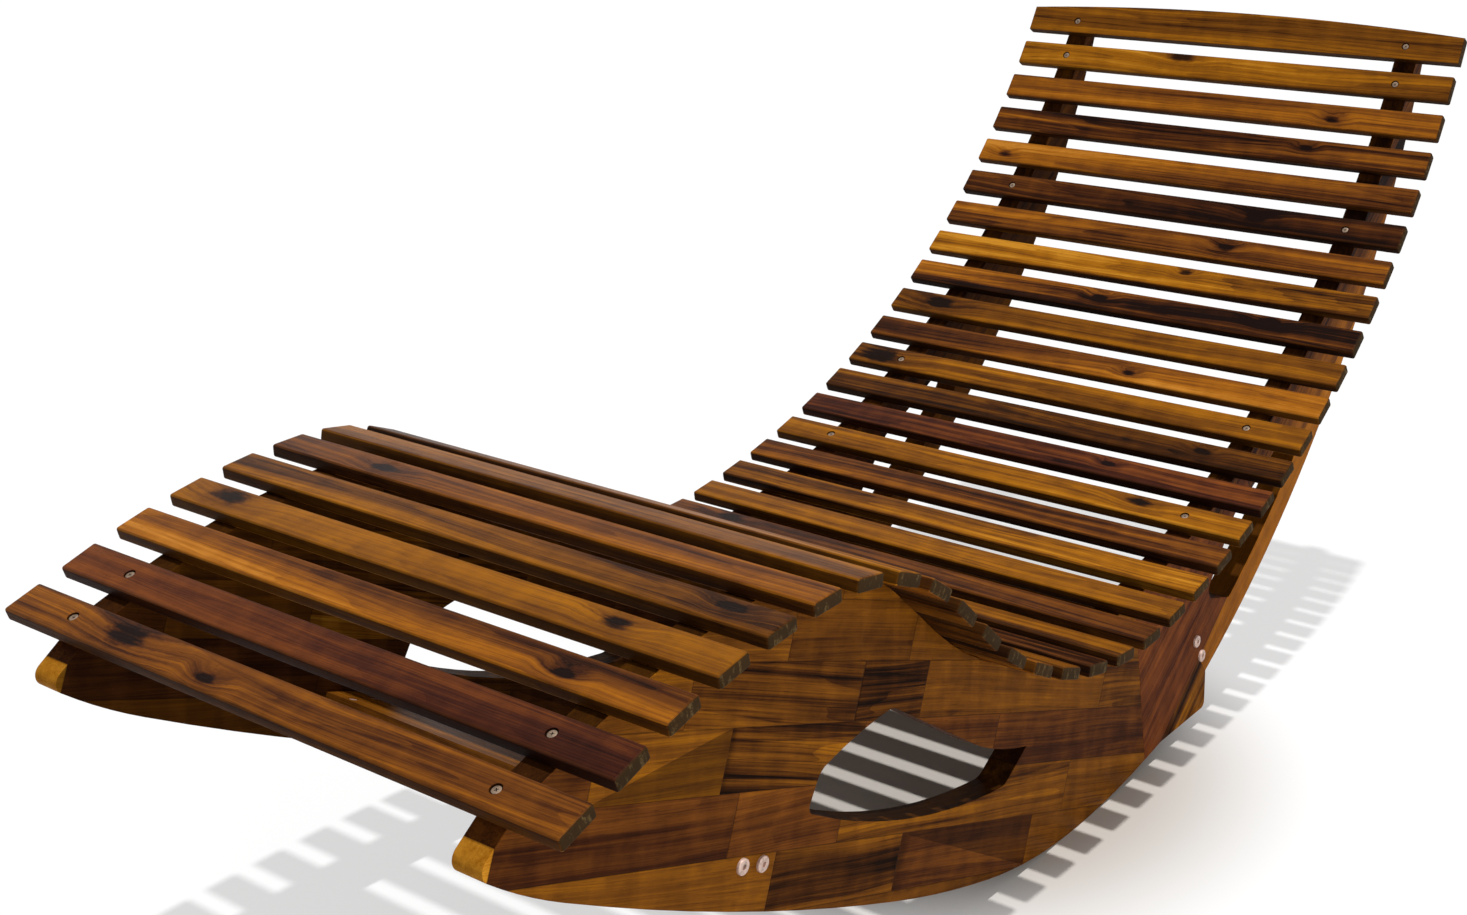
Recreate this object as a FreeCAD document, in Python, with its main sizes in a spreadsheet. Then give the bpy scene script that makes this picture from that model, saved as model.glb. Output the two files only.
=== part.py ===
"""Rocking chaise lounge of oiled hardwood, in millimetres.

Two side boards stand 460 apart. Their top edges follow one S-shaped line of tangent arcs: up the
foot run, over the knee, down into the seat and up the reclined back. Thirty-five slats lie across
them on that line. The lower edges are the rockers. X runs from the foot to the head, Y across,
Z up, and the lounger stands on Z = 0 with the origin below the middle of its box.
"""
import FreeCAD, Part
import math
import os

import Sketcher

V = FreeCAD.Vector

# Driving dimensions
SIZES = {
    # Slats
    "slat_length": 600.0,
    "slat_width": 34.0,
    "slat_thickness": 12.0,
    "slat_corner": 2.5,
    "slat_edge": 1.2,
    "head_rise": 12.0,
    "foot_slats": 8,
    "body_slats": 27,
    "foot_pitch": 54.0,
    "body_pitch": 52.0,
    # The line that the slats' top faces follow: its lowest point, in the seat, and its runs
    # from the first slat's middle to the head
    "seat_low_x": -15.1,
    "seat_low_height": 202.2,
    "foot_angle": 19.0,
    "foot_run": 60.0,
    "calf_radius": 700.0,
    "calf_turn": 18.0,
    "knee_radius": 240.0,
    "knee_turn": 44.0,
    "drop_run": 72.0,
    "seat_radius": 390.0,
    "seat_turn": 50.0,
    "back_radius": 1020.0,
    # Side boards
    "board_thickness": 28.0,
    "board_spacing": 460.0,
    # Rocker edge, as arcs out from the point that touches the floor
    "contact_x": -35.9,
    "roll_radius": 584.0,
    "roll_turn": 16.0,
    "rise_radius": 1385.0,
    "rise_turn": 6.5,
    "shin_radius": 3200.0,
    "shin_turn": 7.7,
    "toe_radius": 520.0,
    "toe_turn": 10.5,
    "nose_setback": 8.0,
    "nose_round": 10.0,
    "tail_radius": 907.0,
    "tail_turn": 8.92,
    "tail_height": 16.5,
    "tail_end": 241.0,
    "tail_round": 7.0,
    # Glued joint between rocker board and back board, and the back board's rear edge
    "joint_station": 915.0,
    "rail_overrun": 10.0,
    "rail_tip": 18.0,
    "spine_taper": 9.5,
    "spine_radius": 1180.0,
    # Leaf-shaped opening in the rocker board: its corners ahead of and above the seat's lowest point
    "leaf_left_ahead": 450.0,
    "leaf_left_above": 8.0,
    "leaf_brow_ahead": 433.0,
    "leaf_brow_above": 36.0,
    "leaf_crest_ahead": 334.0,
    "leaf_crest_above": 50.0,
    "leaf_drop_ahead": 200.0,
    "leaf_drop_above": -41.0,
    "leaf_tip_ahead": 119.0,
    "leaf_tip_above": -75.0,
    "leaf_heel_ahead": 157.0,
    "leaf_heel_above": -98.0,
    "leaf_hollow": 3.0,
    "leaf_belly": 17.0,
    "leaf_round": 20.0,
    "leaf_small_round": 7.0,
    # Opening in the back board, between the rail and the brace
    "rail_depth": 42.0,
    "brace_width": 33.0,
    "brace_top_station": 1268.0,
    "brace_low_station": 1132.0,
    "brace_corner_behind": 248.0,
    "brace_corner_below": 59.0,
    "brace_foot_behind": 308.0,
    "brace_round": 12.0,
    # Stretchers between the sides, placed from the rocker edge's shin arc and from the tail
    "stretcher_width": 44.0,
    "stretcher_thickness": 20.0,
    "front_stretcher_along": 225.3,
    "front_stretcher_rise": 35.0,
    "front_stretcher_tilt": -20.5,
    "rear_stretcher_inset": 19.5,
    "rear_stretcher_height": 90.5,
    "rear_stretcher_tilt": -58.0,
    # Furniture bolts and their barrel nuts
    "bolt_spread": 25.0,
    "bolt_diameter": 6.0,
    "bolt_reach": 34.0,
    "bolt_head_diameter": 13.0,
    "bolt_head_height": 2.5,
    "bolt_socket": 4.0,
    "bolt_socket_depth": 1.8,
    "nut_diameter": 9.0,
    "nut_setback": 24.0,
    # Slat screws and joint dowels
    "screw_diameter": 4.0,
    "screw_length": 34.0,
    "screw_head_diameter": 8.0,
    "screw_head_height": 1.6,
    "screw_sink": 2.4,
    "dowel_diameter": 10.0,
    "dowel_length": 60.0,
    "dowel_inset": 40.0,
    # Clearances, and how many sides stand for a round head and for a round shank
    "fit_gap": 0.15,
    "tip_gap": 1.0,
    "seat_gap": 0.04,
    "head_sides": 20,
    "shank_sides": 12,
}
HEXAGON = 6
# Slats that are screwed from above, counted from the foot; the others are glued and pinned
SCREWED_SLATS = (1, 2, 21, 24, 30, 34, 35)

doc = FreeCAD.newDocument("RockingLounger")
sheet = doc.addObject("Spreadsheet::Sheet", "Sizes")
for row, (name, value) in enumerate(SIZES.items(), start=1):
    sheet.set("A%d" % row, name)
    sheet.set("B%d" % row, str(value))
    sheet.setAlias("B%d" % row, name)
doc.recompute()


def size(name):
    """The value of a driving dimension, read from the sheet."""
    return float(getattr(sheet, name))


# The S-shaped line and the rocker line


def seat_runs():
    """The slat line as runs of (length, signed curvature), from the first slat on."""
    runs = [(size("foot_run"), 0.0)]
    for part, sign in (("calf", -1), ("knee", -1)):
        radius = size(part + "_radius")
        runs.append((radius * math.radians(size(part + "_turn")), sign / radius))
    runs.append((size("drop_run"), 0.0))
    radius = size("seat_radius")
    runs.append((radius * math.radians(size("seat_turn")), 1 / radius))
    runs.append((math.inf, 1 / size("back_radius")))
    return runs


def low_station():
    """The station of the slat line's lowest point, where it stops falling."""
    station = 0.0
    angle = math.radians(size("foot_angle"))
    for length, curve in seat_runs():
        turned = angle + curve * length
        if angle < 0 <= turned:
            break
        station += length
        angle = turned
    return station - angle / curve


def on_line(station, depth=0.0, start=None):
    """Point (x, z) at a station along the slat line, sunk by a depth, and the line's angle."""
    x, z = (LINE_START.x, LINE_START.z) if start is None else (start.x, start.z)
    angle = math.radians(size("foot_angle"))
    left = station
    for length, curve in seat_runs():
        step = min(left, length)
        if curve == 0.0:
            x += step * math.cos(angle)
            z += step * math.sin(angle)
        else:
            turned = angle + curve * step
            x += (math.sin(turned) - math.sin(angle)) / curve
            z += (math.cos(angle) - math.cos(turned)) / curve
            angle = turned
        left -= step
        if left <= 0:
            break
    return V(x + depth * math.sin(angle), 0, z - depth * math.cos(angle)), angle


SEAT_LOW = V(size("seat_low_x"), 0, size("seat_low_height"))
LINE_START = SEAT_LOW - on_line(low_station(), start=V(0, 0, 0))[0]


def line_breaks(start, end):
    """Stations from start to end, with every change of run between them."""
    breaks = [start]
    station = 0.0
    for length, _ in seat_runs():
        station += length
        if start < station < end:
            breaks.append(station)
    return breaks + [end]


def slat_line_edges(start, end, depth):
    """Edges along the slat line, sunk by a depth, between two stations."""
    edges = []
    breaks = line_breaks(start, end)
    for low, high in zip(breaks, breaks[1:]):
        first, angle_low = on_line(low, depth)
        last, angle_high = on_line(high, depth)
        if abs(angle_high - angle_low) < 1e-9:
            edges.append(Part.LineSegment(first, last))
        else:
            middle, _ = on_line((low + high) / 2, depth)
            edges.append(Part.Arc(first, middle, last))
    return edges


def arc_from(point, angle, radius, turn):
    """An arc that leaves a point at an angle and turns by turn, and its end point and angle.

    A positive turn bends to the left of the way it goes.
    """
    sign = 1 if turn > 0 else -1
    centre = point + V(-math.sin(angle), 0, math.cos(angle)) * radius * sign

    def at(part):
        spin = angle + math.radians(turn) * part
        return centre - V(-math.sin(spin), 0, math.cos(spin)) * radius * sign

    return Part.Arc(point, at(0.5), at(1.0)), at(1.0), angle + math.radians(turn)


def rocker_edges(before=None):
    """The rocker's arcs from the floor point to the toe, or to a named arc, their end and angle."""
    point = V(size("contact_x"), 0, 0)
    angle = math.pi
    edges = []
    for part in ("roll", "rise", "shin", "toe"):
        if part == before:
            break
        edge, point, angle = arc_from(point, angle, size(part + "_radius"), -size(part + "_turn"))
        edges.append(edge)
    return edges, point, angle


def slat_stations():
    """The middle station of every slat, from the foot to the head."""
    foot = int(size("foot_slats"))
    stations = [index * size("foot_pitch") for index in range(foot)]
    for index in range(int(size("body_slats"))):
        stations.append(stations[foot - 1] + (index + 1) * size("body_pitch"))
    return stations


STATIONS = slat_stations()
INNER_Y = size("board_spacing") / 2 - size("board_thickness") / 2
OUTER_Y = size("board_spacing") / 2 + size("board_thickness") / 2
RAIL_END = STATIONS[-1] + size("rail_overrun")


# Helpers for bodies


def origin_plane(body, role):
    """One of a body's own origin planes."""
    return next(item for item in body.Origin.OriginFeatures if item.Role == role)


def add_sketch(body, name, role, offset=0.0):
    """A sketch on an origin plane of a body, moved along the plane's normal."""
    sketch = body.newObject("Sketcher::SketchObject", name)
    sketch.AttachmentSupport = (origin_plane(body, role), "")
    sketch.MapMode = "FlatFace"
    sketch.AttachmentOffset = FreeCAD.Placement(V(0, 0, offset), FreeCAD.Rotation())
    return sketch


def flat(point):
    """A point of the side view in the coordinates of a sketch on the XZ plane."""
    return V(point.x, point.z, 0)


def draw(sketch, edges):
    """Draws side-view lines and arcs into a sketch and joins their ends in order."""
    for edge in edges:
        if isinstance(edge, Part.LineSegment):
            sketch.addGeometry(Part.LineSegment(flat(edge.StartPoint), flat(edge.EndPoint)), False)
        else:
            curve = edge.toShape().Curve
            first, last = edge.FirstParameter, edge.LastParameter
            points = [flat(curve.value(first + (last - first) * part)) for part in (0, 0.5, 1)]
            sketch.addGeometry(Part.Arc(*points), False)


def pad(body, name, sketch, expression, backwards=False):
    """Pads a sketch by a length bound to the sheet."""
    feature = body.newObject("PartDesign::Pad", name)
    feature.Profile = sketch
    feature.setExpression("Length", expression)
    feature.Reversed = backwards
    sketch.Visibility = False
    doc.recompute()
    return feature


def pocket(body, name, sketch, expression, through=False, backwards=False):
    """Pockets a sketch and makes sure that it removes material."""
    before = body.Shape.Volume
    feature = body.newObject("PartDesign::Pocket", name)
    feature.Profile = sketch
    if through:
        feature.Type = "ThroughAll"
        feature.Midplane = True
    else:
        feature.setExpression("Length", expression)
        feature.Reversed = backwards
    doc.recompute()
    if feature.Shape.Volume >= before - 1e-6:
        raise RuntimeError(name + " removes nothing")
    return feature


def edge_names(shape, test):
    """Names of the edges whose middle point and direction pass a test."""
    names = []
    for index, edge in enumerate(shape.Edges, start=1):
        middle = edge.valueAt((edge.FirstParameter + edge.LastParameter) / 2)
        way = edge.tangentAt((edge.FirstParameter + edge.LastParameter) / 2)
        if test(middle, way, edge):
            names.append("Edge%d" % index)
    return names


def ease(body, name, kind, names, expression):
    """Fillets or chamfers named edges of the body's last feature by a size from the sheet."""
    feature = body.newObject("PartDesign::" + kind, name)
    feature.Base = (body.Tip if body.Tip != feature else feature.BaseFeature, names)
    feature.setExpression("Radius" if kind == "Fillet" else "Size", expression)
    doc.recompute()
    return feature


def across_at(points, reach=1.0):
    """A test for edges that run along Y through one of some side-view points."""

    def test(middle, way, edge):
        return abs(way.y) > 0.999 and any(
            math.hypot(middle.x - point.x, middle.z - point.z) < reach for point in points)

    return test


def new_body(label):
    """A new body named after its piece."""
    body = doc.addObject("PartDesign::Body", label)
    body.Label = label
    return body


def bore(body, name, at, way, diameter, depth, sides="shank_sides"):
    """Bores a clearance hole for a rod of a named diameter, from a point along a direction."""
    tool = body.newObject("PartDesign::SubtractivePrism", name)
    tool.Polygon = int(size(sides))
    tool.setExpression("Circumradius", "Sizes.%s / 2 + Sizes.fit_gap" % diameter)
    tool.setExpression("Height", depth)
    tool.Placement = FreeCAD.Placement(at, FreeCAD.Rotation(V(0, 0, 1), way))
    before = tool.BaseFeature.Shape.Volume
    doc.recompute()
    if tool.Shape.Volume >= before - 1e-6:
        raise RuntimeError(name + " removes nothing")
    return tool


def rod(diameter, sides, start, way, length):
    """A many-sided rod from a point along a direction, its sides lined up with its bore's."""
    turn = FreeCAD.Rotation(V(0, 0, 1), way)
    corners = []
    for index in range(sides + 1):
        spin = 2 * math.pi * index / sides
        corners.append(start + turn.multVec(V(math.cos(spin), math.sin(spin), 0) * diameter / 2))
    return Part.Face(Part.makePolygon(corners)).extrude(way * length)


# Slats


def slat_lift(station):
    """How far a flat slat stands off the line so that its edges don't dig into a hollow."""
    base, angle = on_line(station, size("slat_thickness"))
    up = V(-math.sin(angle), 0, math.cos(angle))
    half = size("slat_width") / 2
    rises = [(on_line(station + side * half, size("slat_thickness"))[0] - base).dot(up)
             for side in (-1, 1)]
    return max(0.0, *rises) + size("seat_gap")


def slat_point(station, depth=0.0):
    """A slat's middle in the side view, sunk below its top face by a depth, and its angle."""
    point, angle = on_line(station, depth - slat_lift(station))
    return point, angle


def slat_placement(station):
    """Where a slat lies: its top face's middle just off the slat line, turned with it."""
    point, angle = slat_point(station)
    return FreeCAD.Placement(point, FreeCAD.Rotation(V(0, 1, 0), -math.degrees(angle)))


def slat_outline(sketch, arched):
    """A slat's plan, bound to the sheet, with the head slat's rear edge arched."""
    half_width, half_length = size("slat_width") / 2, size("slat_length") / 2
    corners = [V(-half_width, -half_length, 0), V(half_width, -half_length, 0),
               V(half_width, half_length, 0), V(-half_width, half_length, 0)]
    lines = [(0, 1), (1, 2), (2, 3), (3, 0)]
    for first, last in lines:
        if arched and (first, last) == (1, 2):
            crown = V(half_width + size("head_rise"), 0, 0)
            sketch.addGeometry(Part.Arc(corners[1], crown, corners[2]), False)
        else:
            sketch.addGeometry(Part.LineSegment(corners[first], corners[last]), False)
    if arched:
        return
    for line in range(4):
        sketch.addConstraint(Sketcher.Constraint("Coincident", line, 2, (line + 1) % 4, 1))
    for line in (0, 2):
        sketch.addConstraint(Sketcher.Constraint("Horizontal", line))
    for line in (1, 3):
        sketch.addConstraint(Sketcher.Constraint("Vertical", line))
    sketch.addConstraint(Sketcher.Constraint("Symmetric", 0, 1, 2, 1, -1, 1))
    wide = sketch.addConstraint(Sketcher.Constraint("DistanceX", 0, 1, 0, 2, 2 * half_width))
    tall = sketch.addConstraint(Sketcher.Constraint("DistanceY", 1, 1, 1, 2, 2 * half_length))
    sketch.setExpression("Constraints[%d]" % wide, "Sizes.slat_width")
    sketch.setExpression("Constraints[%d]" % tall, "Sizes.slat_length")


def make_slat(number, station):
    """One slat: a planed board with clipped corners and eased top edges, and its screw holes."""
    last = number == len(STATIONS)
    body = new_body("head_slat" if last else "slat_%02d" % number)
    outline = add_sketch(body, "Plan%02d" % number, "XY_Plane")
    slat_outline(outline, arched=last)
    pad(body, "Board%02d" % number, outline, "Sizes.slat_thickness", backwards=True)
    upright = edge_names(body.Shape, lambda middle, way, edge: abs(way.z) > 0.999)
    ease(body, "Ends%02d" % number, "Chamfer", upright, "Sizes.slat_corner")
    top = edge_names(body.Shape, lambda middle, way, edge: abs(middle.z) < 1e-6)
    ease(body, "Eased%02d" % number, "Chamfer", top, "Sizes.slat_edge")
    if number in SCREWED_SLATS:
        down = V(0, 0, -1)
        for side in (-1, 1):
            at = V(0, side * size("board_spacing") / 2, 0)
            tag = "%02d%s" % (number, "R" if side < 0 else "L")
            bore(body, "Sink" + tag, at, down, "screw_head_diameter", "Sizes.screw_sink",
                 "head_sides")
            bore(body, "Shank" + tag, at, down, "screw_diameter", "Sizes.slat_thickness")
    body.Placement = slat_placement(station)
    return body


# Side boards


def board_sketch(body, name, side):
    """A sketch on the inner face of a side board on one side of the lounger."""
    return add_sketch(body, name, "XZ_Plane", INNER_Y if side < 0 else -OUTER_Y)


JOINT_TOP = on_line(size("joint_station"), size("slat_thickness"))[0]
TAIL_ARC, JOINT_FOOT, TAIL_ANGLE = arc_from(
    V(size("contact_x"), 0, 0), 0.0, size("tail_radius"), size("tail_turn"))


def make_rocker_board(side, label):
    """The front side board: rocker edge below, knee and seat line above, leaf cut-out inside."""
    body = new_body(label)
    rocker, toe, _ = rocker_edges()
    nose_station = size("nose_setback")
    nose = on_line(nose_station, size("slat_thickness"))[0]
    outline = slat_line_edges(nose_station, size("joint_station"), size("slat_thickness"))
    outline.append(Part.LineSegment(JOINT_TOP, JOINT_FOOT))
    outline.append(TAIL_ARC)
    outline += rocker
    outline.append(Part.LineSegment(toe, nose))
    profile = board_sketch(body, label + "_profile", side)
    draw(profile, outline)
    pad(body, label + "_board", profile, "Sizes.board_thickness")
    corners = edge_names(body.Shape, across_at([toe]))
    ease(body, label + "_nose", "Fillet", corners, "Sizes.nose_round")
    cut_leaf(body, label, side)
    return body


def leaf_points():
    """The corners of the leaf-shaped opening, clockwise from its left end."""
    return [SEAT_LOW + V(-size("leaf_%s_ahead" % name), 0, size("leaf_%s_above" % name))
            for name in ("left", "brow", "crest", "drop", "tip", "heel")]


def bulged(first, last, rise):
    """An arc between two points that stands off their chord, to its left when positive."""
    chord = last - first
    normal = V(-chord.z, 0, chord.x).normalize()
    return Part.Arc(first, (first + last) / 2 + normal * rise, last)


def cut_leaf(body, label, side):
    """Cuts the leaf-shaped opening and rounds its corners."""
    left, brow, crest, drop, tip, heel = leaf_points()
    leaf = board_sketch(body, label + "_leaf", side)
    edges = [Part.LineSegment(left, brow), bulged(brow, crest, size("leaf_hollow")),
             Part.LineSegment(crest, drop), bulged(drop, tip, -size("leaf_hollow")),
             Part.LineSegment(tip, heel), bulged(heel, left, size("leaf_belly"))]
    draw(leaf, edges)
    pocket(body, label + "_opening", leaf, "", through=True)
    wide = edge_names(body.Shape, across_at([brow, crest, heel]))
    ease(body, label + "_leaf_corners", "Fillet", wide, "Sizes.leaf_round")
    small = edge_names(body.Shape, across_at([left]))
    ease(body, label + "_leaf_end", "Fillet", small, "Sizes.leaf_small_round")


def spine():
    """The back board's rear edge: its arc from the head down to the tail, and its two ends."""
    top, angle = on_line(RAIL_END, size("slat_thickness") + size("rail_tip"))
    angle += math.radians(size("spine_taper"))
    radius = size("spine_radius")
    centre = top + V(-math.sin(angle), 0, math.cos(angle)) * radius
    reach = size("tail_end") - centre.x
    foot = V(size("tail_end"), 0, centre.z - math.sqrt(radius ** 2 - reach ** 2))
    return centre, radius, top, foot


def arc_about(centre, radius, first, last):
    """The shorter arc about a centre from one direction to another, given by points."""
    start = centre + (first - centre).normalize() * radius
    end = centre + (last - centre).normalize() * radius
    middle = centre + ((start + end) / 2 - centre).normalize() * radius
    return Part.Arc(start, middle, end)


def make_back_board(side, label):
    """The rear side board: tail below, back rail above, with a long opening in front of the brace."""
    body = new_body(label)
    centre, radius, top, foot = spine()
    heel = V(size("tail_end"), 0, size("tail_height"))
    slope = (heel.z - JOINT_FOOT.z) / math.tan(TAIL_ANGLE)
    flat_start = V(JOINT_FOOT.x + slope, 0, heel.z)
    outline = slat_line_edges(size("joint_station"), RAIL_END, size("slat_thickness"))
    outline.append(Part.LineSegment(on_line(RAIL_END, size("slat_thickness"))[0], top))
    outline.append(arc_about(centre, radius, top, foot))
    outline.append(Part.LineSegment(foot, heel))
    outline.append(Part.LineSegment(heel, flat_start))
    outline.append(Part.LineSegment(flat_start, JOINT_FOOT))
    outline.append(Part.LineSegment(JOINT_FOOT, JOINT_TOP))
    profile = board_sketch(body, label + "_profile", side)
    draw(profile, outline)
    pad(body, label + "_board", profile, "Sizes.board_thickness")
    ease(body, label + "_tail", "Fillet", edge_names(body.Shape, across_at([heel])),
         "Sizes.tail_round")
    cut_brace_opening(body, label, side, centre, radius)
    return body


def cut_brace_opening(body, label, side, centre, radius):
    """Cuts the long opening between the slat rail and the brace along the rear edge."""
    depth = size("slat_thickness") + size("rail_depth")
    inner = radius - size("brace_width")
    corner = SEAT_LOW + V(size("brace_corner_behind"), 0, -size("brace_corner_below"))
    foot_x = SEAT_LOW.x + size("brace_foot_behind")
    foot = V(foot_x, 0, centre.z - math.sqrt(inner ** 2 - (foot_x - centre.x) ** 2))
    rail_low = on_line(size("brace_low_station"), depth)[0]
    rail_top = on_line(size("brace_top_station"), depth)[0]
    brace = arc_about(centre, inner, rail_top, foot)
    edges = [Part.LineSegment(corner, rail_low)]
    edges += slat_line_edges(size("brace_low_station"), size("brace_top_station"), depth)
    edges += [Part.LineSegment(rail_top, brace.StartPoint), brace,
              Part.LineSegment(foot, corner)]
    opening = board_sketch(body, label + "_opening", side)
    draw(opening, edges)
    pocket(body, label + "_brace_opening", opening, "", through=True)
    corners = edge_names(body.Shape,
                         across_at([corner, rail_top, brace.StartPoint, foot, rail_low]))
    ease(body, label + "_opening_corners", "Fillet", corners, "Sizes.brace_round")


# Stretchers, bolts, screws and dowels


def stretcher_middle(name):
    """Where a stretcher's middle lies in the side view."""
    if name == "rear_stretcher":
        return V(size("tail_end") - size("rear_stretcher_inset"), 0, size("rear_stretcher_height"))
    _, shin_start, angle = rocker_edges("shin")
    turn = math.degrees(size("front_stretcher_along") / size("shin_radius"))
    _, below, angle = arc_from(shin_start, angle, size("shin_radius"), -turn)
    return below + V(math.sin(angle), 0, -math.cos(angle)) * size("front_stretcher_rise")


def stretcher_frame(name):
    """Middle point, width direction and thickness direction of a stretcher in the side view."""
    tilt = math.radians(size(name + "_tilt"))
    return (stretcher_middle(name), V(math.cos(tilt), 0, math.sin(tilt)),
            V(-math.sin(tilt), 0, math.cos(tilt)))


def bolt_points(name):
    """The two bolt axes of a stretcher, in the side view."""
    middle, along, _ = stretcher_frame(name)
    return [middle + along * (sign * size("bolt_spread") / 2) for sign in (-1, 1)]


def make_stretcher(name):
    """A stretcher: a rail between the side boards, bored for its bolts and barrel nuts."""
    body = new_body(name)
    section = add_sketch(body, name + "_section", "XZ_Plane", -INNER_Y)
    half_width, half_thick = size("stretcher_width") / 2, size("stretcher_thickness") / 2
    corners = [V(-half_width, -half_thick, 0), V(half_width, -half_thick, 0),
               V(half_width, half_thick, 0), V(-half_width, half_thick, 0)]
    for index in range(4):
        sketch_line = Part.LineSegment(corners[index], corners[(index + 1) % 4])
        section.addGeometry(sketch_line, False)
    pad(body, name + "_rail", section, "Sizes.board_spacing - Sizes.board_thickness")
    for index, shift in enumerate((-1, 1)):
        for side in (-1, 1):
            tag = "%s_%d_%s" % (name, index, "right" if side < 0 else "left")
            start = V(shift * size("bolt_spread") / 2, side * INNER_Y, 0)
            bore(body, tag + "_bolt", start, V(0, -side, 0), "bolt_diameter", "Sizes.bolt_reach")
            nut_at = V(start.x, side * (INNER_Y - size("nut_setback")), -half_thick)
            bore(body, tag + "_nut", nut_at, V(0, 0, 1), "nut_diameter", "Sizes.stretcher_thickness")
    middle, _, _ = stretcher_frame(name)
    body.Placement = FreeCAD.Placement(
        middle, FreeCAD.Rotation(V(0, 1, 0), -size(name + "_tilt")))
    return body


def bore_for_bolts(body, name, side):
    """Bores a side board for a stretcher's bolts."""
    for index, point in enumerate(bolt_points(name)):
        outside = V(point.x, side * OUTER_Y, point.z)
        bore(body, "%s_%s_%d" % (body.Label, name, index), outside, V(0, -side, 0),
             "bolt_diameter", "Sizes.board_thickness")


def bore_for_screws(body, side, first, last):
    """Bores pilot holes for the slat screws whose slats lie between two stations."""
    for number in SCREWED_SLATS:
        station = STATIONS[number - 1]
        if first <= station < last:
            at, angle = slat_point(station, size("slat_thickness"))
            at.y = side * size("board_spacing") / 2
            bore(body, "%s_pilot_%02d" % (body.Label, number), at,
                 V(math.sin(angle), 0, -math.cos(angle)), "screw_diameter",
                 "Sizes.screw_length - Sizes.slat_thickness")


def dowel_points():
    """Middles of the joint dowels in the side view, and the direction across the joint."""
    along = (JOINT_TOP - JOINT_FOOT).normalize()
    across = V(along.z, 0, -along.x)
    inset = size("dowel_inset")
    return [JOINT_FOOT + along * inset, JOINT_TOP - along * inset], across


def bore_for_dowels(body, side):
    """Bores half of each joint dowel's hole into a side board."""
    points, across = dowel_points()
    for index, point in enumerate(points):
        start = V(point.x, side * size("board_spacing") / 2, point.z)
        start -= across * (size("dowel_length") / 2)
        bore(body, "%s_dowel_%d" % (body.Label, index), start, across, "dowel_diameter",
             "Sizes.dowel_length")


def add_group(label, solids):
    """One node that holds identical small pieces as separate solids."""
    group = doc.addObject("Part::Feature", label)
    group.Label = label
    group.Shape = Part.makeCompound(solids)
    group.Placement = FreeCAD.Placement()
    return group


def bolt_solid(point, side):
    """A furniture bolt whose flat head, with a hexagon socket, lies on a side board's face."""
    way = V(0, -side, 0)
    seat = V(point.x, side * OUTER_Y, point.z)
    top = seat - way * size("bolt_head_height")
    head = rod(size("bolt_head_diameter"), int(size("head_sides")), top, way,
               size("bolt_head_height"))
    shank = rod(size("bolt_diameter"), int(size("shank_sides")), seat, way,
                size("board_thickness") + size("bolt_reach") - size("tip_gap"))
    across_corners = size("bolt_socket") / math.cos(math.pi / HEXAGON)
    socket = rod(across_corners, HEXAGON, top, way, size("bolt_socket_depth"))
    return head.fuse(shank).cut(socket).removeSplitter()


def nut_solid(name, point, side):
    """A barrel nut across a stretcher, bored for its bolt."""
    _, _, thick = stretcher_frame(name)
    length = size("stretcher_thickness") - 2 * size("tip_gap")
    middle = V(point.x, side * (INNER_Y - size("nut_setback")), point.z)
    sides = int(size("shank_sides"))
    nut = rod(size("nut_diameter"), sides, middle - thick * (length / 2), thick, length)
    hole = rod(size("bolt_diameter") + 2 * size("fit_gap"), sides,
               middle + V(0, size("nut_diameter"), 0), V(0, -1, 0), 2 * size("nut_diameter"))
    return nut.cut(hole)


def screw_solid(station, side):
    """A flat-headed wood screw that sits a little below a slat's face."""
    at, angle = slat_point(station, size("screw_sink"))
    at.y = side * size("board_spacing") / 2
    down = V(math.sin(angle), 0, -math.cos(angle))
    head = rod(size("screw_head_diameter"), int(size("head_sides")),
               at - down * size("screw_head_height"), down, size("screw_head_height"))
    shank = rod(size("screw_diameter"), int(size("shank_sides")), at, down,
                size("screw_length") - size("screw_sink") - size("tip_gap"))
    return head.fuse(shank).removeSplitter()


def make_fasteners():
    """The four groups of small identical pieces."""
    bolts, nuts, screws, dowels = [], [], [], []
    for side in (-1, 1):
        for name in ("front_stretcher", "rear_stretcher"):
            for point in bolt_points(name):
                bolts.append(bolt_solid(point, side))
                nuts.append(nut_solid(name, point, side))
        for number in SCREWED_SLATS:
            screws.append(screw_solid(STATIONS[number - 1], side))
        points, across = dowel_points()
        length = size("dowel_length") - 2 * size("tip_gap")
        for point in points:
            start = V(point.x, side * size("board_spacing") / 2, point.z) - across * (length / 2)
            dowels.append(rod(size("dowel_diameter"), int(size("shank_sides")), start, across, length))
    return [add_group("stretcher_bolts", bolts), add_group("barrel_nuts", nuts),
            add_group("slat_screws", screws), add_group("joint_dowels", dowels)]


# Building


def build():
    """Makes every piece and returns them."""
    slats = [make_slat(number, station) for number, station in enumerate(STATIONS, start=1)]
    boards = []
    for side, hand in ((-1, "right"), (1, "left")):
        rocker = make_rocker_board(side, "rocker_board_" + hand)
        back = make_back_board(side, "back_board_" + hand)
        bore_for_bolts(rocker, "front_stretcher", side)
        bore_for_bolts(back, "rear_stretcher", side)
        bore_for_screws(rocker, side, -math.inf, size("joint_station"))
        bore_for_screws(back, side, size("joint_station"), math.inf)
        bore_for_dowels(rocker, side)
        bore_for_dowels(back, side)
        boards += [rocker, back]
    stretchers = [make_stretcher(name) for name in ("front_stretcher", "rear_stretcher")]
    return slats + boards + stretchers + make_fasteners()


def check(pieces):
    """Stops if any object failed or any piece has no valid solid."""
    for item in doc.Objects:
        if "Invalid" in item.State or "Error" in item.State:
            raise RuntimeError("%s failed: %s" % (item.Label, item.State))
    for piece in pieces:
        if piece.Shape.isNull() or not piece.Shape.isValid() or not piece.Shape.Solids:
            raise RuntimeError("%s has no valid solid" % piece.Label)


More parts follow.
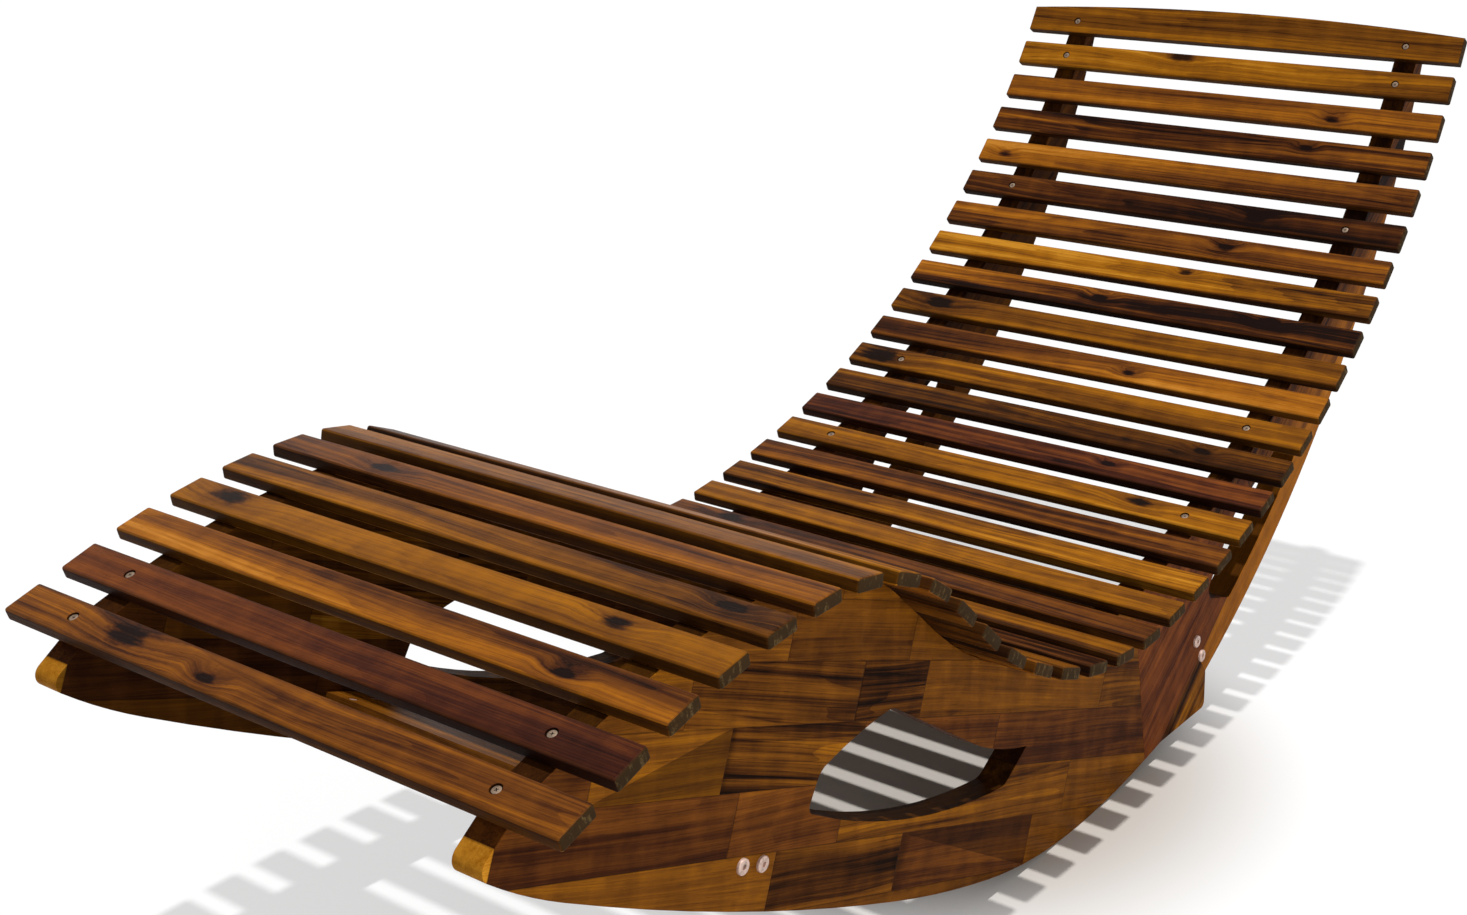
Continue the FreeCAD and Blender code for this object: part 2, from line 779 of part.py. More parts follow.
def write(pieces):
    """Writes each piece's shape to its own file."""
    os.makedirs("parts", exist_ok=True)
    for piece in pieces:
        piece.Shape.exportStep(os.path.join("parts", piece.Label + ".step"))


PIECES = build()
doc.recompute()
check(PIECES)
write(PIECES)
box = Part.makeCompound([piece.Shape for piece in PIECES]).BoundBox
print("%d nodes, %d solids" % (len(PIECES), sum(len(piece.Shape.Solids) for piece in PIECES)))
print("box %.1f..%.1f %.1f..%.1f %.1f..%.1f"
      % (box.XMin, box.XMax, box.YMin, box.YMax, box.ZMin, box.ZMax))
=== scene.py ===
"""The looks of a slatted rocking lounger: oiled acacia, bolts, screws and a studio."""
import logging
import math
import random
from collections.abc import Callable
from dataclasses import dataclass
from enum import Enum
from typing import ClassVar

import bmesh
import bpy
from mathutils import Matrix, Vector
from mathutils.bvhtree import BVHTree


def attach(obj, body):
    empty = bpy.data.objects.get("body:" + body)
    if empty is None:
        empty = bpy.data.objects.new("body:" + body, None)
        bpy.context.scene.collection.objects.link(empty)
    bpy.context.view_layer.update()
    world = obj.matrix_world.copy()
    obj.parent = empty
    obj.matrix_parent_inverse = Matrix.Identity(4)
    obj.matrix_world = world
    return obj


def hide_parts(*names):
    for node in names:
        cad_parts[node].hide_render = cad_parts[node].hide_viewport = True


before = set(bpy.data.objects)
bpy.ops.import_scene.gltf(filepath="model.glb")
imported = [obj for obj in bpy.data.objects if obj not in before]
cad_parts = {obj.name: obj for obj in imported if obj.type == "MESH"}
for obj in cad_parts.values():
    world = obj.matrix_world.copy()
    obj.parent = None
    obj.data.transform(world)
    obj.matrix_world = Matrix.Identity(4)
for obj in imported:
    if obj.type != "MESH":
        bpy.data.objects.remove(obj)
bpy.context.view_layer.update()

LOG = logging.getLogger("lounger")
MM = 0.001
Colour = tuple[float, float, float, float]
Piece = bpy.types.Object
Socket = bpy.types.NodeSocket
Material = bpy.types.Material
TINY = 1e-5
HEAD_SIDES = 32
FAR = 9.0

# Parts of a face's normal along an axis: edge-on to it, mostly along it, along it, and flat
EDGE_ON, MOSTLY, FACING, FLAT = 0.3, 0.8, 0.9, 0.95


class Tone(Enum):
    """How dark a piece of acacia is, from heartwood to sapwood."""

    WALNUT = 0.20
    CHESTNUT = 0.33
    UMBER = 0.40
    BROWN = 0.46
    AMBER = 0.53
    HONEY = 0.60
    GOLD = 0.72
    STRAW = 0.86


class Hue(Enum):
    """How red the oiled wood looks."""

    YELLOW = 0.0
    WARM = 0.3
    RED = 0.75


class Figure(Enum):
    """How strongly dark and light bands run through the wood."""

    PLAIN = 0.3
    STREAKED = 0.7
    WILD = 1.0


@dataclass(frozen=True)
class Knot:
    """A dark knot: its place on a slat in metres from the middle, across and along, and its radius."""

    across: float
    along: float
    radius: float
    drawn_out: float = 0.45

    def reach(self, across: float, along: float) -> Vector:
        """A point's distance in the knot's own radii, with the knot drawn out along the grain."""
        return Vector((across - self.across, (along - self.along) * self.drawn_out, 0)) / self.radius


@dataclass(frozen=True)
class WoodLook:
    """What one slat or stave looks like; fade is how much lighter its near end is."""

    tone: Tone
    hue: Hue = Hue.YELLOW
    figure: Figure = Figure.STREAKED
    knots: tuple[Knot, ...] = ()
    fade: float = 0.0

    def spot(self, index: int, across: float, along: float) -> Vector:
        """A point's distance from one of the knots, or far away where there is none."""
        return self.knots[index].reach(across, along) if index < len(self.knots) else Vector((FAR, FAR, FAR))


def deselect_all() -> None:
    """Leaves object mode with nothing selected."""
    if bpy.context.object is not None and bpy.context.object.mode != "OBJECT":
        bpy.ops.object.mode_set(mode="OBJECT")
    bpy.ops.object.select_all(action="DESELECT")


def make_active(piece: Piece) -> None:
    """Selects one object alone and makes it the active one.

    Args:
        piece: the object to work on.
    """
    deselect_all()
    piece.select_set(True)
    bpy.context.view_layer.objects.active = piece


def settle(piece: Piece) -> None:
    """Moves a piece's place into its mesh, so that its object sits at the origin."""
    make_active(piece)
    bpy.ops.object.transform_apply(location=True, rotation=True, scale=True)


def start_from(primitive: Callable, scale: tuple[float, float, float] = (1, 1, 1), **settings) -> Piece:
    """Adds a primitive at its size and place, with all else deselected.

    Args:
        primitive: the operator that adds it.
        scale: its size along each axis.
        settings: what the operator is given.

    Returns:
        The new object, settled.
    """
    deselect_all()
    primitive(**settings)
    piece = bpy.context.object
    piece.scale = scale
    settle(piece)
    return piece


def copy_of(pattern: Piece, name: str) -> Piece:
    """Copies a piece, with its own mesh.

    Args:
        pattern: the piece.
        name: the copy's name.

    Returns:
        The copy.
    """
    piece = pattern.copy()
    piece.data = pattern.data.copy()
    piece.name = name
    bpy.context.collection.objects.link(piece)
    return piece


def select_parts(piece: Piece, kind: str, test: Callable) -> None:
    """Selects a mesh's edges or faces in edit mode.

    Args:
        piece: the mesh object, active.
        kind: EDGE or FACE.
        test: called with each edge or face; says whether it is wanted.
    """
    bpy.ops.object.mode_set(mode="EDIT")
    bpy.ops.mesh.select_mode(type=kind)
    bpy.ops.mesh.select_all(action="DESELECT")
    mesh = bmesh.from_edit_mesh(piece.data)
    for part in mesh.edges if kind == "EDGE" else mesh.faces:
        if test(part):
            part.select = True
    mesh.select_flush(True)
    bmesh.update_edit_mesh(piece.data)


def select_edges(piece: Piece, test: Callable[[Vector, Vector], bool]) -> None:
    """Selects the active mesh's edges in edit mode by a test on their two end points."""
    select_parts(piece, "EDGE", lambda edge: test(edge.verts[0].co, edge.verts[1].co))


def apply_modifiers(piece: Piece) -> None:
    """Applies every modifier of a piece, in order."""
    make_active(piece)
    for modifier in list(piece.modifiers):
        bpy.ops.object.modifier_apply(modifier=modifier.name)


def cut_out(piece: Piece, cutter: Piece) -> None:
    """Cuts one object's shape out of another and removes it.

    Args:
        piece: the object to cut.
        cutter: the shape, gone afterwards.
    """
    cut = piece.modifiers.new("cut", "BOOLEAN")
    cut.object = cutter
    cut.solver = "EXACT"
    apply_modifiers(piece)
    bpy.data.objects.remove(cutter)


def ease_top(head: Piece, rim: float, segments: int) -> None:
    """Rounds the upper rim of a screw's or bolt's head, whose top is at the origin.

    Args:
        head: the head, upright and active.
        rim: how much of it is rounded off.
        segments: in how many steps.
    """
    select_edges(head, lambda a, b: max(abs(a.z), abs(b.z)) < TINY)
    bpy.ops.mesh.bevel(offset=rim, segments=segments, affect="EDGES")
    bpy.ops.object.mode_set(mode="OBJECT")


def add_shank(head: Piece, radius: float, top: float, length: float, sides: int) -> None:
    """Joins an upright shank to a screw's or bolt's head.

    Args:
        head: the head.
        radius: the shank's radius.
        top: the height of its upper end.
        length: its length.
        sides: how many sides it has.
    """
    start_from(bpy.ops.mesh.primitive_cylinder_add, vertices=sides, radius=radius, depth=length,
               location=(0, 0, top - length / 2))
    head.select_set(True)
    bpy.context.view_layer.objects.active = head
    bpy.ops.object.join()


def islands(points: list[Vector], gap: float) -> list[list[Vector]]:
    """Sorts points into groups that lie further apart than a gap.

    Args:
        points: the points.
        gap: the largest step within a group.

    Returns:
        The groups.
    """
    left = list(points)
    groups = []
    while left:
        group = [left.pop()]
        for point in group:
            near = [other for other in left if (other - point).length < gap]
            left = [other for other in left if (other - point).length >= gap]
            group.extend(near)
        groups.append(group)
    return groups


def join_copies(copies: list[Piece], name: str, finish: Material) -> Piece:
    """Joins copies into one piece with one finish.

    Args:
        copies: the objects to join.
        name: the piece's name.
        finish: its material.

    Returns:
        The joined piece.
    """
    make_active(copies[0])
    for copy in copies:
        copy.select_set(True)
    bpy.ops.object.join()
    piece = bpy.context.object
    piece.name = name
    give_finish(piece, finish)
    smooth(piece)
    return piece


def smooth(piece: Piece, degrees: float = 35.0) -> None:
    """Shades a piece smooth where its faces meet at less than an angle."""
    make_active(piece)
    bpy.ops.object.shade_smooth_by_angle(angle=math.radians(degrees))


@dataclass(frozen=True)
class Noise:
    """A layer of noise: its features per metre along each axis, how it is drawn, and its weight."""

    scale: tuple[float, float, float]
    detail: float = 3.0
    roughness: float = 0.5
    distortion: float = 0.0
    weight: float = 1.0


class Nodes:
    """A short way to add and join the nodes of one tree."""

    def __init__(self, tree: bpy.types.NodeTree) -> None:
        """Keeps the tree that nodes are added to."""
        self.tree = tree

    def add(self, kind: str, inputs: dict | None = None, **settings) -> bpy.types.Node:
        """Adds a node, sets it up and joins or sets its inputs.

        Args:
            kind: the node's type name, without ShaderNode in front.
            inputs: socket name or number to a value or another node's output.
            settings: attributes of the node.

        Returns:
            The new node.
        """
        node = self.tree.nodes.new(kind if kind.startswith("Node") else "ShaderNode" + kind)
        for name, value in settings.items():
            setattr(node, name, value)
        self.feed(node, inputs or {})
        return node

    def feed(self, node: bpy.types.Node, inputs: dict) -> None:
        """Joins sockets to a node's inputs, or sets their values.

        Args:
            node: the node.
            inputs: its socket names or numbers to values or sockets.
        """
        for name, value in inputs.items():
            if isinstance(value, Socket):
                self.tree.links.new(value, node.inputs[name])
            else:
                node.inputs[name].default_value = value

    def math(self, operation: str, *values) -> Socket:
        """The result of a Math node on numbers or sockets."""
        return self.add("Math", dict(enumerate(values)), operation=operation).outputs[0]

    def total(self, start, *terms: tuple) -> Socket:
        """Adds weighted products to a start.

        Args:
            start: a number or socket.
            terms: each a weight and the sockets that it multiplies.

        Returns:
            The sum's socket.
        """
        for product, *parts in terms:
            for part in parts:
                product = self.math("MULTIPLY", part, product)
            start = self.math("ADD", start, product)
        return start

    def span(self, value, low: float, high: float, out_low: float = 0.0, out_high: float = 1.0,
             kind: str = "SMOOTHSTEP") -> Socket:
        """A value mapped from low and high to out_low and out_high, smoothly unless kind says else."""
        inputs = {"Value": value, "From Min": low, "From Max": high, "To Min": out_low, "To Max": out_high}
        return self.add("MapRange", inputs, interpolation_type=kind).outputs[0]

    def noise(self, place, layer: Noise) -> Socket:
        """A layer of noise.

        Args:
            place: the vector socket, in metres.
            layer: the noise.

        Returns:
            Its socket, from 0 to 1.
        """
        stretched = self.add("VectorMath", {0: place, 1: layer.scale}, operation="MULTIPLY").outputs[0]
        inputs = {"Vector": stretched, "Scale": 1.0, "Detail": layer.detail,
                  "Roughness": layer.roughness, "Distortion": layer.distortion}
        return self.add("TexNoise", inputs, noise_dimensions="3D").outputs["Fac"]

    def swing(self, noise) -> Socket:
        """A noise's swing about its middle."""
        return self.math("SUBTRACT", noise, 0.5)

    def mix(self, factor, first, second, blend: str = "MIX") -> Socket:
        """Two colours or sockets mixed: 0 is the first, 1 the second."""
        inputs = {0: factor, 6: first, 7: second}
        return self.add("Mix", inputs, data_type="RGBA", blend_type=blend).outputs[2]

    def attribute(self, name: str, output: str = "Fac") -> Socket:
        """The value of one of a mesh's own attributes."""
        return self.add("Attribute", attribute_name=name).outputs[output]


class Acacia:
    """The node group that grows acacia: bands, rings, fibres, pores and knots in metres along a board."""

    # The Cut input darkens sawn sides and greys end grain, and brings painted shade on the slats' sides and
    # screw holes and on the boards' upper edges and inner faces; the input after it paints shade on the
    # slats' eased top rims.
    SOCKETS = {
        "INPUT": {"Place": "Vector", "Spot": "Vector", "Second Spot": "Vector", "Tone": "Float",
                  "Redness": "Float", "Figure": "Float", "Cut": "Float", "Worn": "Float"},
        "OUTPUT": {"Color": "Color", "Roughness": "Float", "Height": "Float"}}
    DARKEST = (0.008, 0.003, 0.0015, 1.0)
    HEART = (0.056, 0.017, 0.0035, 1.0)
    MIDDLE = (0.180, 0.060, 0.006, 1.0)
    LIGHT = (0.375, 0.133, 0.006, 1.0)
    SAP = (0.600, 0.255, 0.022, 1.0)
    REDDENED = (1.0, 0.76, 2.2, 1.0)
    END_GRAIN = (0.034, 0.020, 0.008, 1.0)
    END_STREAK = (0.125, 0.080, 0.031, 1.0)
    # Painted shade on the slats' eased top rims
    RIM_SHADE = (0.045, 0.018, 0.005, 1.0)
    FIELD = Noise((24.0, 1.1, 24.0), 2.0, 0.45, weight=1.8)
    BANDS = Noise((120.0, 2.0, 120.0), 4.0, 0.55, 0.3, weight=1.35)
    VEINS = Noise((230.0, 1.6, 230.0), 1.0, weight=-0.17)
    THREADS = Noise((700.0, 7.0, 700.0), 3.0, 0.6, weight=0.36)
    PORES = Noise((2600.0, 60.0, 2600.0), 1.0)
    RAYS = Noise((40.0, 45.0, 40.0), weight=0.26)
    SWAY = Noise((7.0, 1.6, 7.0), 2.0)
    RAGGED = Noise((240.0, 90.0, 240.0), 2.0, weight=0.9)
    END_STREAKS = Noise((260.0, 3.0, 90.0))
    RINGS_IN_FIELD = 17.0
    RING, RING_WEIGHT = (0.45, 0.96), -0.14
    KNOT_BENDS, BEND_WEIGHT = (0.4, 3.4), -0.15
    KNOT_CORE, CORE_WEIGHT = (0.30, 1.25), -0.5
    OPEN_PORE = (0.60, 0.74)
    VEIN_WIDTH = 0.035
    SWAY_REACH = 34 * MM
    KNOT_PUSH = 8 * MM
    BAND_FIGURE = 0.05
    BASE_ROUGHNESS = 0.27

    def __init__(self) -> None:
        """Builds the group once."""
        self.group = bpy.data.node_groups.new("acacia_grain", "ShaderNodeTree")
        self.nodes = Nodes(self.group)
        for side, sockets in self.SOCKETS.items():
            for name, kind in sockets.items():
                self.group.interface.new_socket(name, in_out=side, socket_type="NodeSocket" + kind)
        for name in ("Spot", "Second Spot"):
            self.group.interface.items_tree[name].default_value = (FAR, FAR, FAR)
        self.given = self.nodes.add("NodeGroupInput").outputs
        self.build()

    def knots(self) -> tuple[Socket, Socket]:
        """Finds the two knots.

        Returns:
            How strongly the grain bends round them, and their dark cores.
        """
        n = self.nodes
        reaches = [n.add("VectorMath", {0: self.given[name]}, operation="LENGTH").outputs["Value"]
                   for name in ("Spot", "Second Spot")]
        ragged = n.swing(n.noise(self.given["Place"], self.RAGGED))
        reach = n.total(n.math("MINIMUM", *reaches), (self.RAGGED.weight, ragged))
        return n.span(reach, *self.KNOT_BENDS, 1.0, 0.0), n.span(reach, *self.KNOT_CORE, 1.0, 0.0)

    def bend(self, pull: Socket) -> Socket:
        """Sways the grain along the board and pushes it aside by a knot.

        Args:
            pull: how strongly a knot bends the grain.

        Returns:
            The place on the board that the grain is read from.
        """
        n = self.nodes
        sway = n.swing(n.noise(self.given["Place"], self.SWAY))
        parts = n.add("SeparateXYZ", {0: self.given["Place"]}).outputs
        across = n.total(parts[0], (self.SWAY_REACH, sway), (self.KNOT_PUSH, pull))
        return n.add("CombineXYZ", {0: across, 1: parts[1], 2: parts[2]}).outputs[0]

    def build(self) -> None:
        """Adds the nodes: bands, rings, fibres and pores, their colour, and the sawn sides and ends with
        their painted shade.
        """
        n, figure, place = self.nodes, self.given["Figure"], self.given["Place"]
        pull, core = self.knots()
        bent = self.bend(pull)
        field, threads = n.noise(bent, self.FIELD), n.noise(bent, self.THREADS)
        rings = n.math("FRACT", n.math("MULTIPLY", field, self.RINGS_IN_FIELD))
        veins = n.math("ABSOLUTE", n.swing(n.noise(bent, self.VEINS)))
        shade = n.total(
            self.given["Tone"],
            (self.FIELD.weight, n.swing(field), figure),
            (self.BANDS.weight, n.swing(n.noise(bent, self.BANDS)), n.math("ADD", figure, self.BAND_FIGURE)),
            (self.RING_WEIGHT, n.span(rings, *self.RING), figure),
            (self.VEINS.weight, n.span(veins, 0.0, self.VEIN_WIDTH, 1.0, 0.0), figure),
            (self.THREADS.weight, n.swing(threads)),
            (self.RAYS.weight, n.swing(n.noise(place, self.RAYS))),
            (self.BEND_WEIGHT, pull), (self.CORE_WEIGHT, core))
        open_pore = n.span(n.noise(bent, self.PORES), *self.OPEN_PORE)
        results = {
            "Color": self.sawn(self.tinted(shade, open_pore), threads),
            "Roughness": n.total(self.BASE_ROUGHNESS, (0.2, threads), (0.15, open_pore),
                                 (0.25, self.given["Cut"])),
            "Height": n.total(0.0, (0.5, threads), (-0.5, open_pore), (-0.6, core))}
        n.add("NodeGroupOutput", results)

    def tinted(self, shade: Socket, open_pore: Socket) -> Socket:
        """The planed wood's colour.

        Args:
            shade: how light the wood is, from 0 to 1.
            open_pore: where the pores are open.

        Returns:
            The colour.
        """
        n = self.nodes
        ramp = n.add("ValToRGB", {0: shade})
        stops = {0.0: self.DARKEST, 0.22: self.HEART, 0.48: self.MIDDLE, 0.74: self.LIGHT, 1.0: self.SAP}
        elements = ramp.color_ramp.elements
        while len(elements) < len(stops):
            elements.new(0.5)
        for element, stop in zip(elements, stops.items()):
            element.position, element.color = stop
        reddened = n.mix(1.0, ramp.outputs[0], self.REDDENED, "MULTIPLY")
        colour = n.mix(self.given["Redness"], ramp.outputs[0], reddened)
        return n.mix(n.math("MULTIPLY", open_pore, 0.4), colour, self.DARKEST)

    def sawn(self, colour: Socket, threads: Socket) -> Socket:
        """Darkens sawn sides, partly as painted shade, paints shade on the eased top rims and greys end
        grain.

        Args:
            colour: the planed face's colour.
            threads: the fine fibres.

        Returns:
            The surface's colour.
        """
        n = self.nodes
        cut = self.given["Cut"]
        # Sides darker partly as sawn wood, partly as painted shade
        side = n.span(cut, 0.0, 0.5, kind="LINEAR")
        colour = n.mix(n.math("MULTIPLY", side, 0.78), colour, self.DARKEST)
        streak = n.span(n.noise(self.given["Place"], self.END_STREAKS), 0.52, 0.68)
        end = n.mix(n.math("MULTIPLY", streak, n.span(threads, 0.35, 0.6)), self.END_GRAIN, self.END_STREAK)
        colour = n.mix(n.span(cut, 0.6, 1.0, 0.0, 0.85, "LINEAR"), colour, end)
        # Painted shade on the eased top rims, patchy along the fibres
        worn = n.math("MULTIPLY", self.given["Worn"], n.span(threads, 0.25, 0.6, 0.05, 0.4))
        return n.mix(worn, colour, self.RIM_SHADE)


class Finishes:
    """The lounger's finishes, each built once."""

    SLAT_SHINE = 0.03
    BOARD_SHINE = 0.01
    WARM_SHINE = (1.0, 0.86, 0.68, 1.0)
    GLUE_LINE = (0.1 * MM, 0.9 * MM)
    RELIEF = 0.4 * MM
    STRETCHER_FIGURE = 0.5
    BEECH = (0.46, 0.27, 0.13, 1.0)
    NICKEL = (0.66, 0.47, 0.39, 1.0)
    ZINC = (0.27, 0.19, 0.13, 1.0)
    FIBRES = Noise((60.0, 900.0, 900.0))
    STAINS = Noise((260.0, 260.0, 260.0))
    SCRATCHES = Noise((900.0, 2400.0, 900.0), 2.0)

    def __init__(self) -> None:
        """Builds the shared group and the materials."""
        self.acacia = Acacia()
        self.slat = self.wood("slat_acacia")
        self.board = self.wood("board_acacia", glued=True)
        self.stretcher = self.plain_acacia("stretcher_acacia")
        self.beech = self.plain_wood("dowel_beech", self.BEECH)
        self.bolt = self.metal("bolt_bronzed_nickel", self.NICKEL, 0.42, 0.35)
        self.screw = self.metal("screw_zinc", self.ZINC, 0.50, 0.6)

    @staticmethod
    def start(name: str) -> tuple[Material, Nodes, bpy.types.Node]:
        """Starts a material.

        Args:
            name: its name.

        Returns:
            The material, its nodes and its Principled BSDF.
        """
        material = bpy.data.materials.new(name)
        material.use_nodes = True
        nodes = Nodes(material.node_tree)
        return material, nodes, material.node_tree.nodes["Principled BSDF"]

    def oil(self, n: Nodes, bsdf: bpy.types.Node, grain: bpy.types.Node, shine: float,
            colour: Socket | None = None, height: Socket | None = None) -> None:
        """Joins a grain to the shader under a thin satin oil.

        Args:
            n: the material's nodes.
            bsdf: its shader.
            grain: the placed grain group.
            shine: how strongly the oil reflects.
            colour: the colour, if not the grain's own.
            height: the relief, if not the grain's own.
        """
        bump = n.add("Bump", {"Height": height or grain.outputs["Height"], "Strength": 0.5,
                              "Distance": self.RELIEF})
        n.feed(bsdf, {"Base Color": colour or grain.outputs["Color"], "Roughness": grain.outputs["Roughness"],
                      "Normal": bump.outputs[0], "Specular IOR Level": shine,
                      "Specular Tint": self.WARM_SHINE})

    def wood(self, name: str, glued: bool = False) -> Material:
        """Oiled acacia that follows each piece's own attributes.

        Args:
            name: the material's name.
            glued: whether thin glue lines run round the staves.

        Returns:
            The material.
        """
        material, n, bsdf = self.start(name)
        grain = n.add("Group", node_tree=self.acacia.group)
        for socket, kind in Acacia.SOCKETS["INPUT"].items():
            own = "grain" if socket == "Place" else socket.lower().replace(" ", "_")
            n.feed(grain, {socket: n.attribute(own, "Vector" if kind == "Vector" else "Fac")})
        if not glued:
            self.oil(n, bsdf, grain, self.SLAT_SHINE)
            return material
        gaps = n.add("SeparateXYZ", {0: n.attribute("seam_gaps", "Vector")}).outputs
        gap = n.math("MINIMUM", n.math("MINIMUM", gaps[0], gaps[1]), gaps[2])
        line = n.span(gap, *self.GLUE_LINE, 1.0, 0.0)
        colour = n.mix(n.math("MULTIPLY", line, 0.5), grain.outputs["Color"], Acacia.DARKEST)
        height = n.math("SUBTRACT", grain.outputs["Height"], line)
        self.oil(n, bsdf, grain, self.BOARD_SHINE, colour, height)
        return material

    def plain_acacia(self, name: str) -> Material:
        """Oiled acacia whose grain runs along Y, for the stretchers.

        Args:
            name: the material's name.

        Returns:
            The material.
        """
        material, n, bsdf = self.start(name)
        grain = n.add("Group", {"Place": n.add("TexCoord").outputs["Object"]}, node_tree=self.acacia.group)
        n.feed(grain, {"Tone": Tone.BROWN.value, "Figure": self.STRETCHER_FIGURE})
        self.oil(n, bsdf, grain, self.SLAT_SHINE)
        return material

    def plain_wood(self, name: str, colour: Colour) -> Material:
        """Bare pale wood with a fine grain, for the hidden dowels.

        Args:
            name: the material's name.
            colour: its colour.

        Returns:
            The material.
        """
        material, n, bsdf = self.start(name)
        fibres = n.noise(n.add("TexCoord").outputs["Object"], self.FIBRES)
        n.feed(bsdf, {"Base Color": n.mix(fibres, self.darker(colour, 0.6), colour), "Roughness": 0.6})
        return material

    def metal(self, name: str, colour: Colour, rough: float, bare: float) -> Material:
        """Plated steel with faint scratches and stains.

        Args:
            name: the material's name.
            colour: its colour.
            rough: its middle roughness.
            bare: how metallic it looks under its dull film.

        Returns:
            The material.
        """
        material, n, bsdf = self.start(name)
        place = n.add("TexCoord").outputs["Object"]
        stain = n.span(n.noise(place, self.STAINS), 0.4, 0.75)
        n.feed(bsdf, {"Base Color": n.mix(stain, colour, self.darker(colour, 0.55)), "Metallic": bare,
                      "Roughness": n.total(rough - 0.1, (0.25, n.noise(place, self.SCRATCHES)))})
        return material

    @staticmethod
    def darker(colour: Colour, part: float) -> Colour:
        """A colour darkened to a part of its strength."""
        return tuple(part * value for value in colour[:3]) + (1.0,)


def write_attributes(mesh: bpy.types.Mesh, domain: str, columns: dict[str, list]) -> None:
    """Writes attributes that the wood's material reads.

    Args:
        mesh: the mesh.
        domain: POINT, FACE or CORNER.
        columns: attribute name to one number or vector for each element.
    """
    for name, column in columns.items():
        if isinstance(column[0], Vector):
            data = mesh.attributes.new(name, "FLOAT_VECTOR", domain).data
            data.foreach_set("vector", [part for value in column for part in value])
        else:
            mesh.attributes.new(name, "FLOAT", domain).data.foreach_set("value", column)


def give_finish(piece: Piece, finish: Material) -> None:
    """Makes a material a piece's only one."""
    piece.data.materials.clear()
    piece.data.materials.append(finish)


@dataclass(frozen=True)
class SlatPlace:
    """Where a slat lies: the middle of its solid and its tilt about Y."""

    middle: Vector
    tilt: float
    NEAR_ENDS: ClassVar[float] = 250 * MM

    @staticmethod
    def of_node(name: str, width: float) -> "SlatPlace":
        """Reads a slat's place from its node's points.

        Args:
            name: the CAD node.
            width: the slat's width from its straight front edge.

        Returns:
            Its place.
        """
        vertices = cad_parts[name].data.vertices
        points = [vertex.co for vertex in vertices if abs(vertex.co.y) > SlatPlace.NEAR_ENDS]
        mean = sum(points, Vector()) / len(points)
        spread_x = sum((point.x - mean.x) ** 2 for point in points)
        spread_z = sum((point.z - mean.z) ** 2 for point in points)
        both = sum((point.x - mean.x) * (point.z - mean.z) for point in points)
        tilt = 0.5 * math.atan2(2 * both, spread_x - spread_z)
        along = Vector((math.cos(tilt), 0, math.sin(tilt)))
        up = Vector((-math.sin(tilt), 0, math.cos(tilt)))
        ups = [point.dot(up) for point in points]
        alongs = [point.dot(along) for point in points]
        middle = along * (min(alongs) + width / 2) + up * ((min(ups) + max(ups)) / 2)
        return SlatPlace(middle, tilt)

    def matrix(self) -> Matrix:
        """The turn and shift from a slat lying flat at the origin to its place."""
        return Matrix.Translation(self.middle) @ Matrix.Rotation(-self.tilt, 4, "Y")


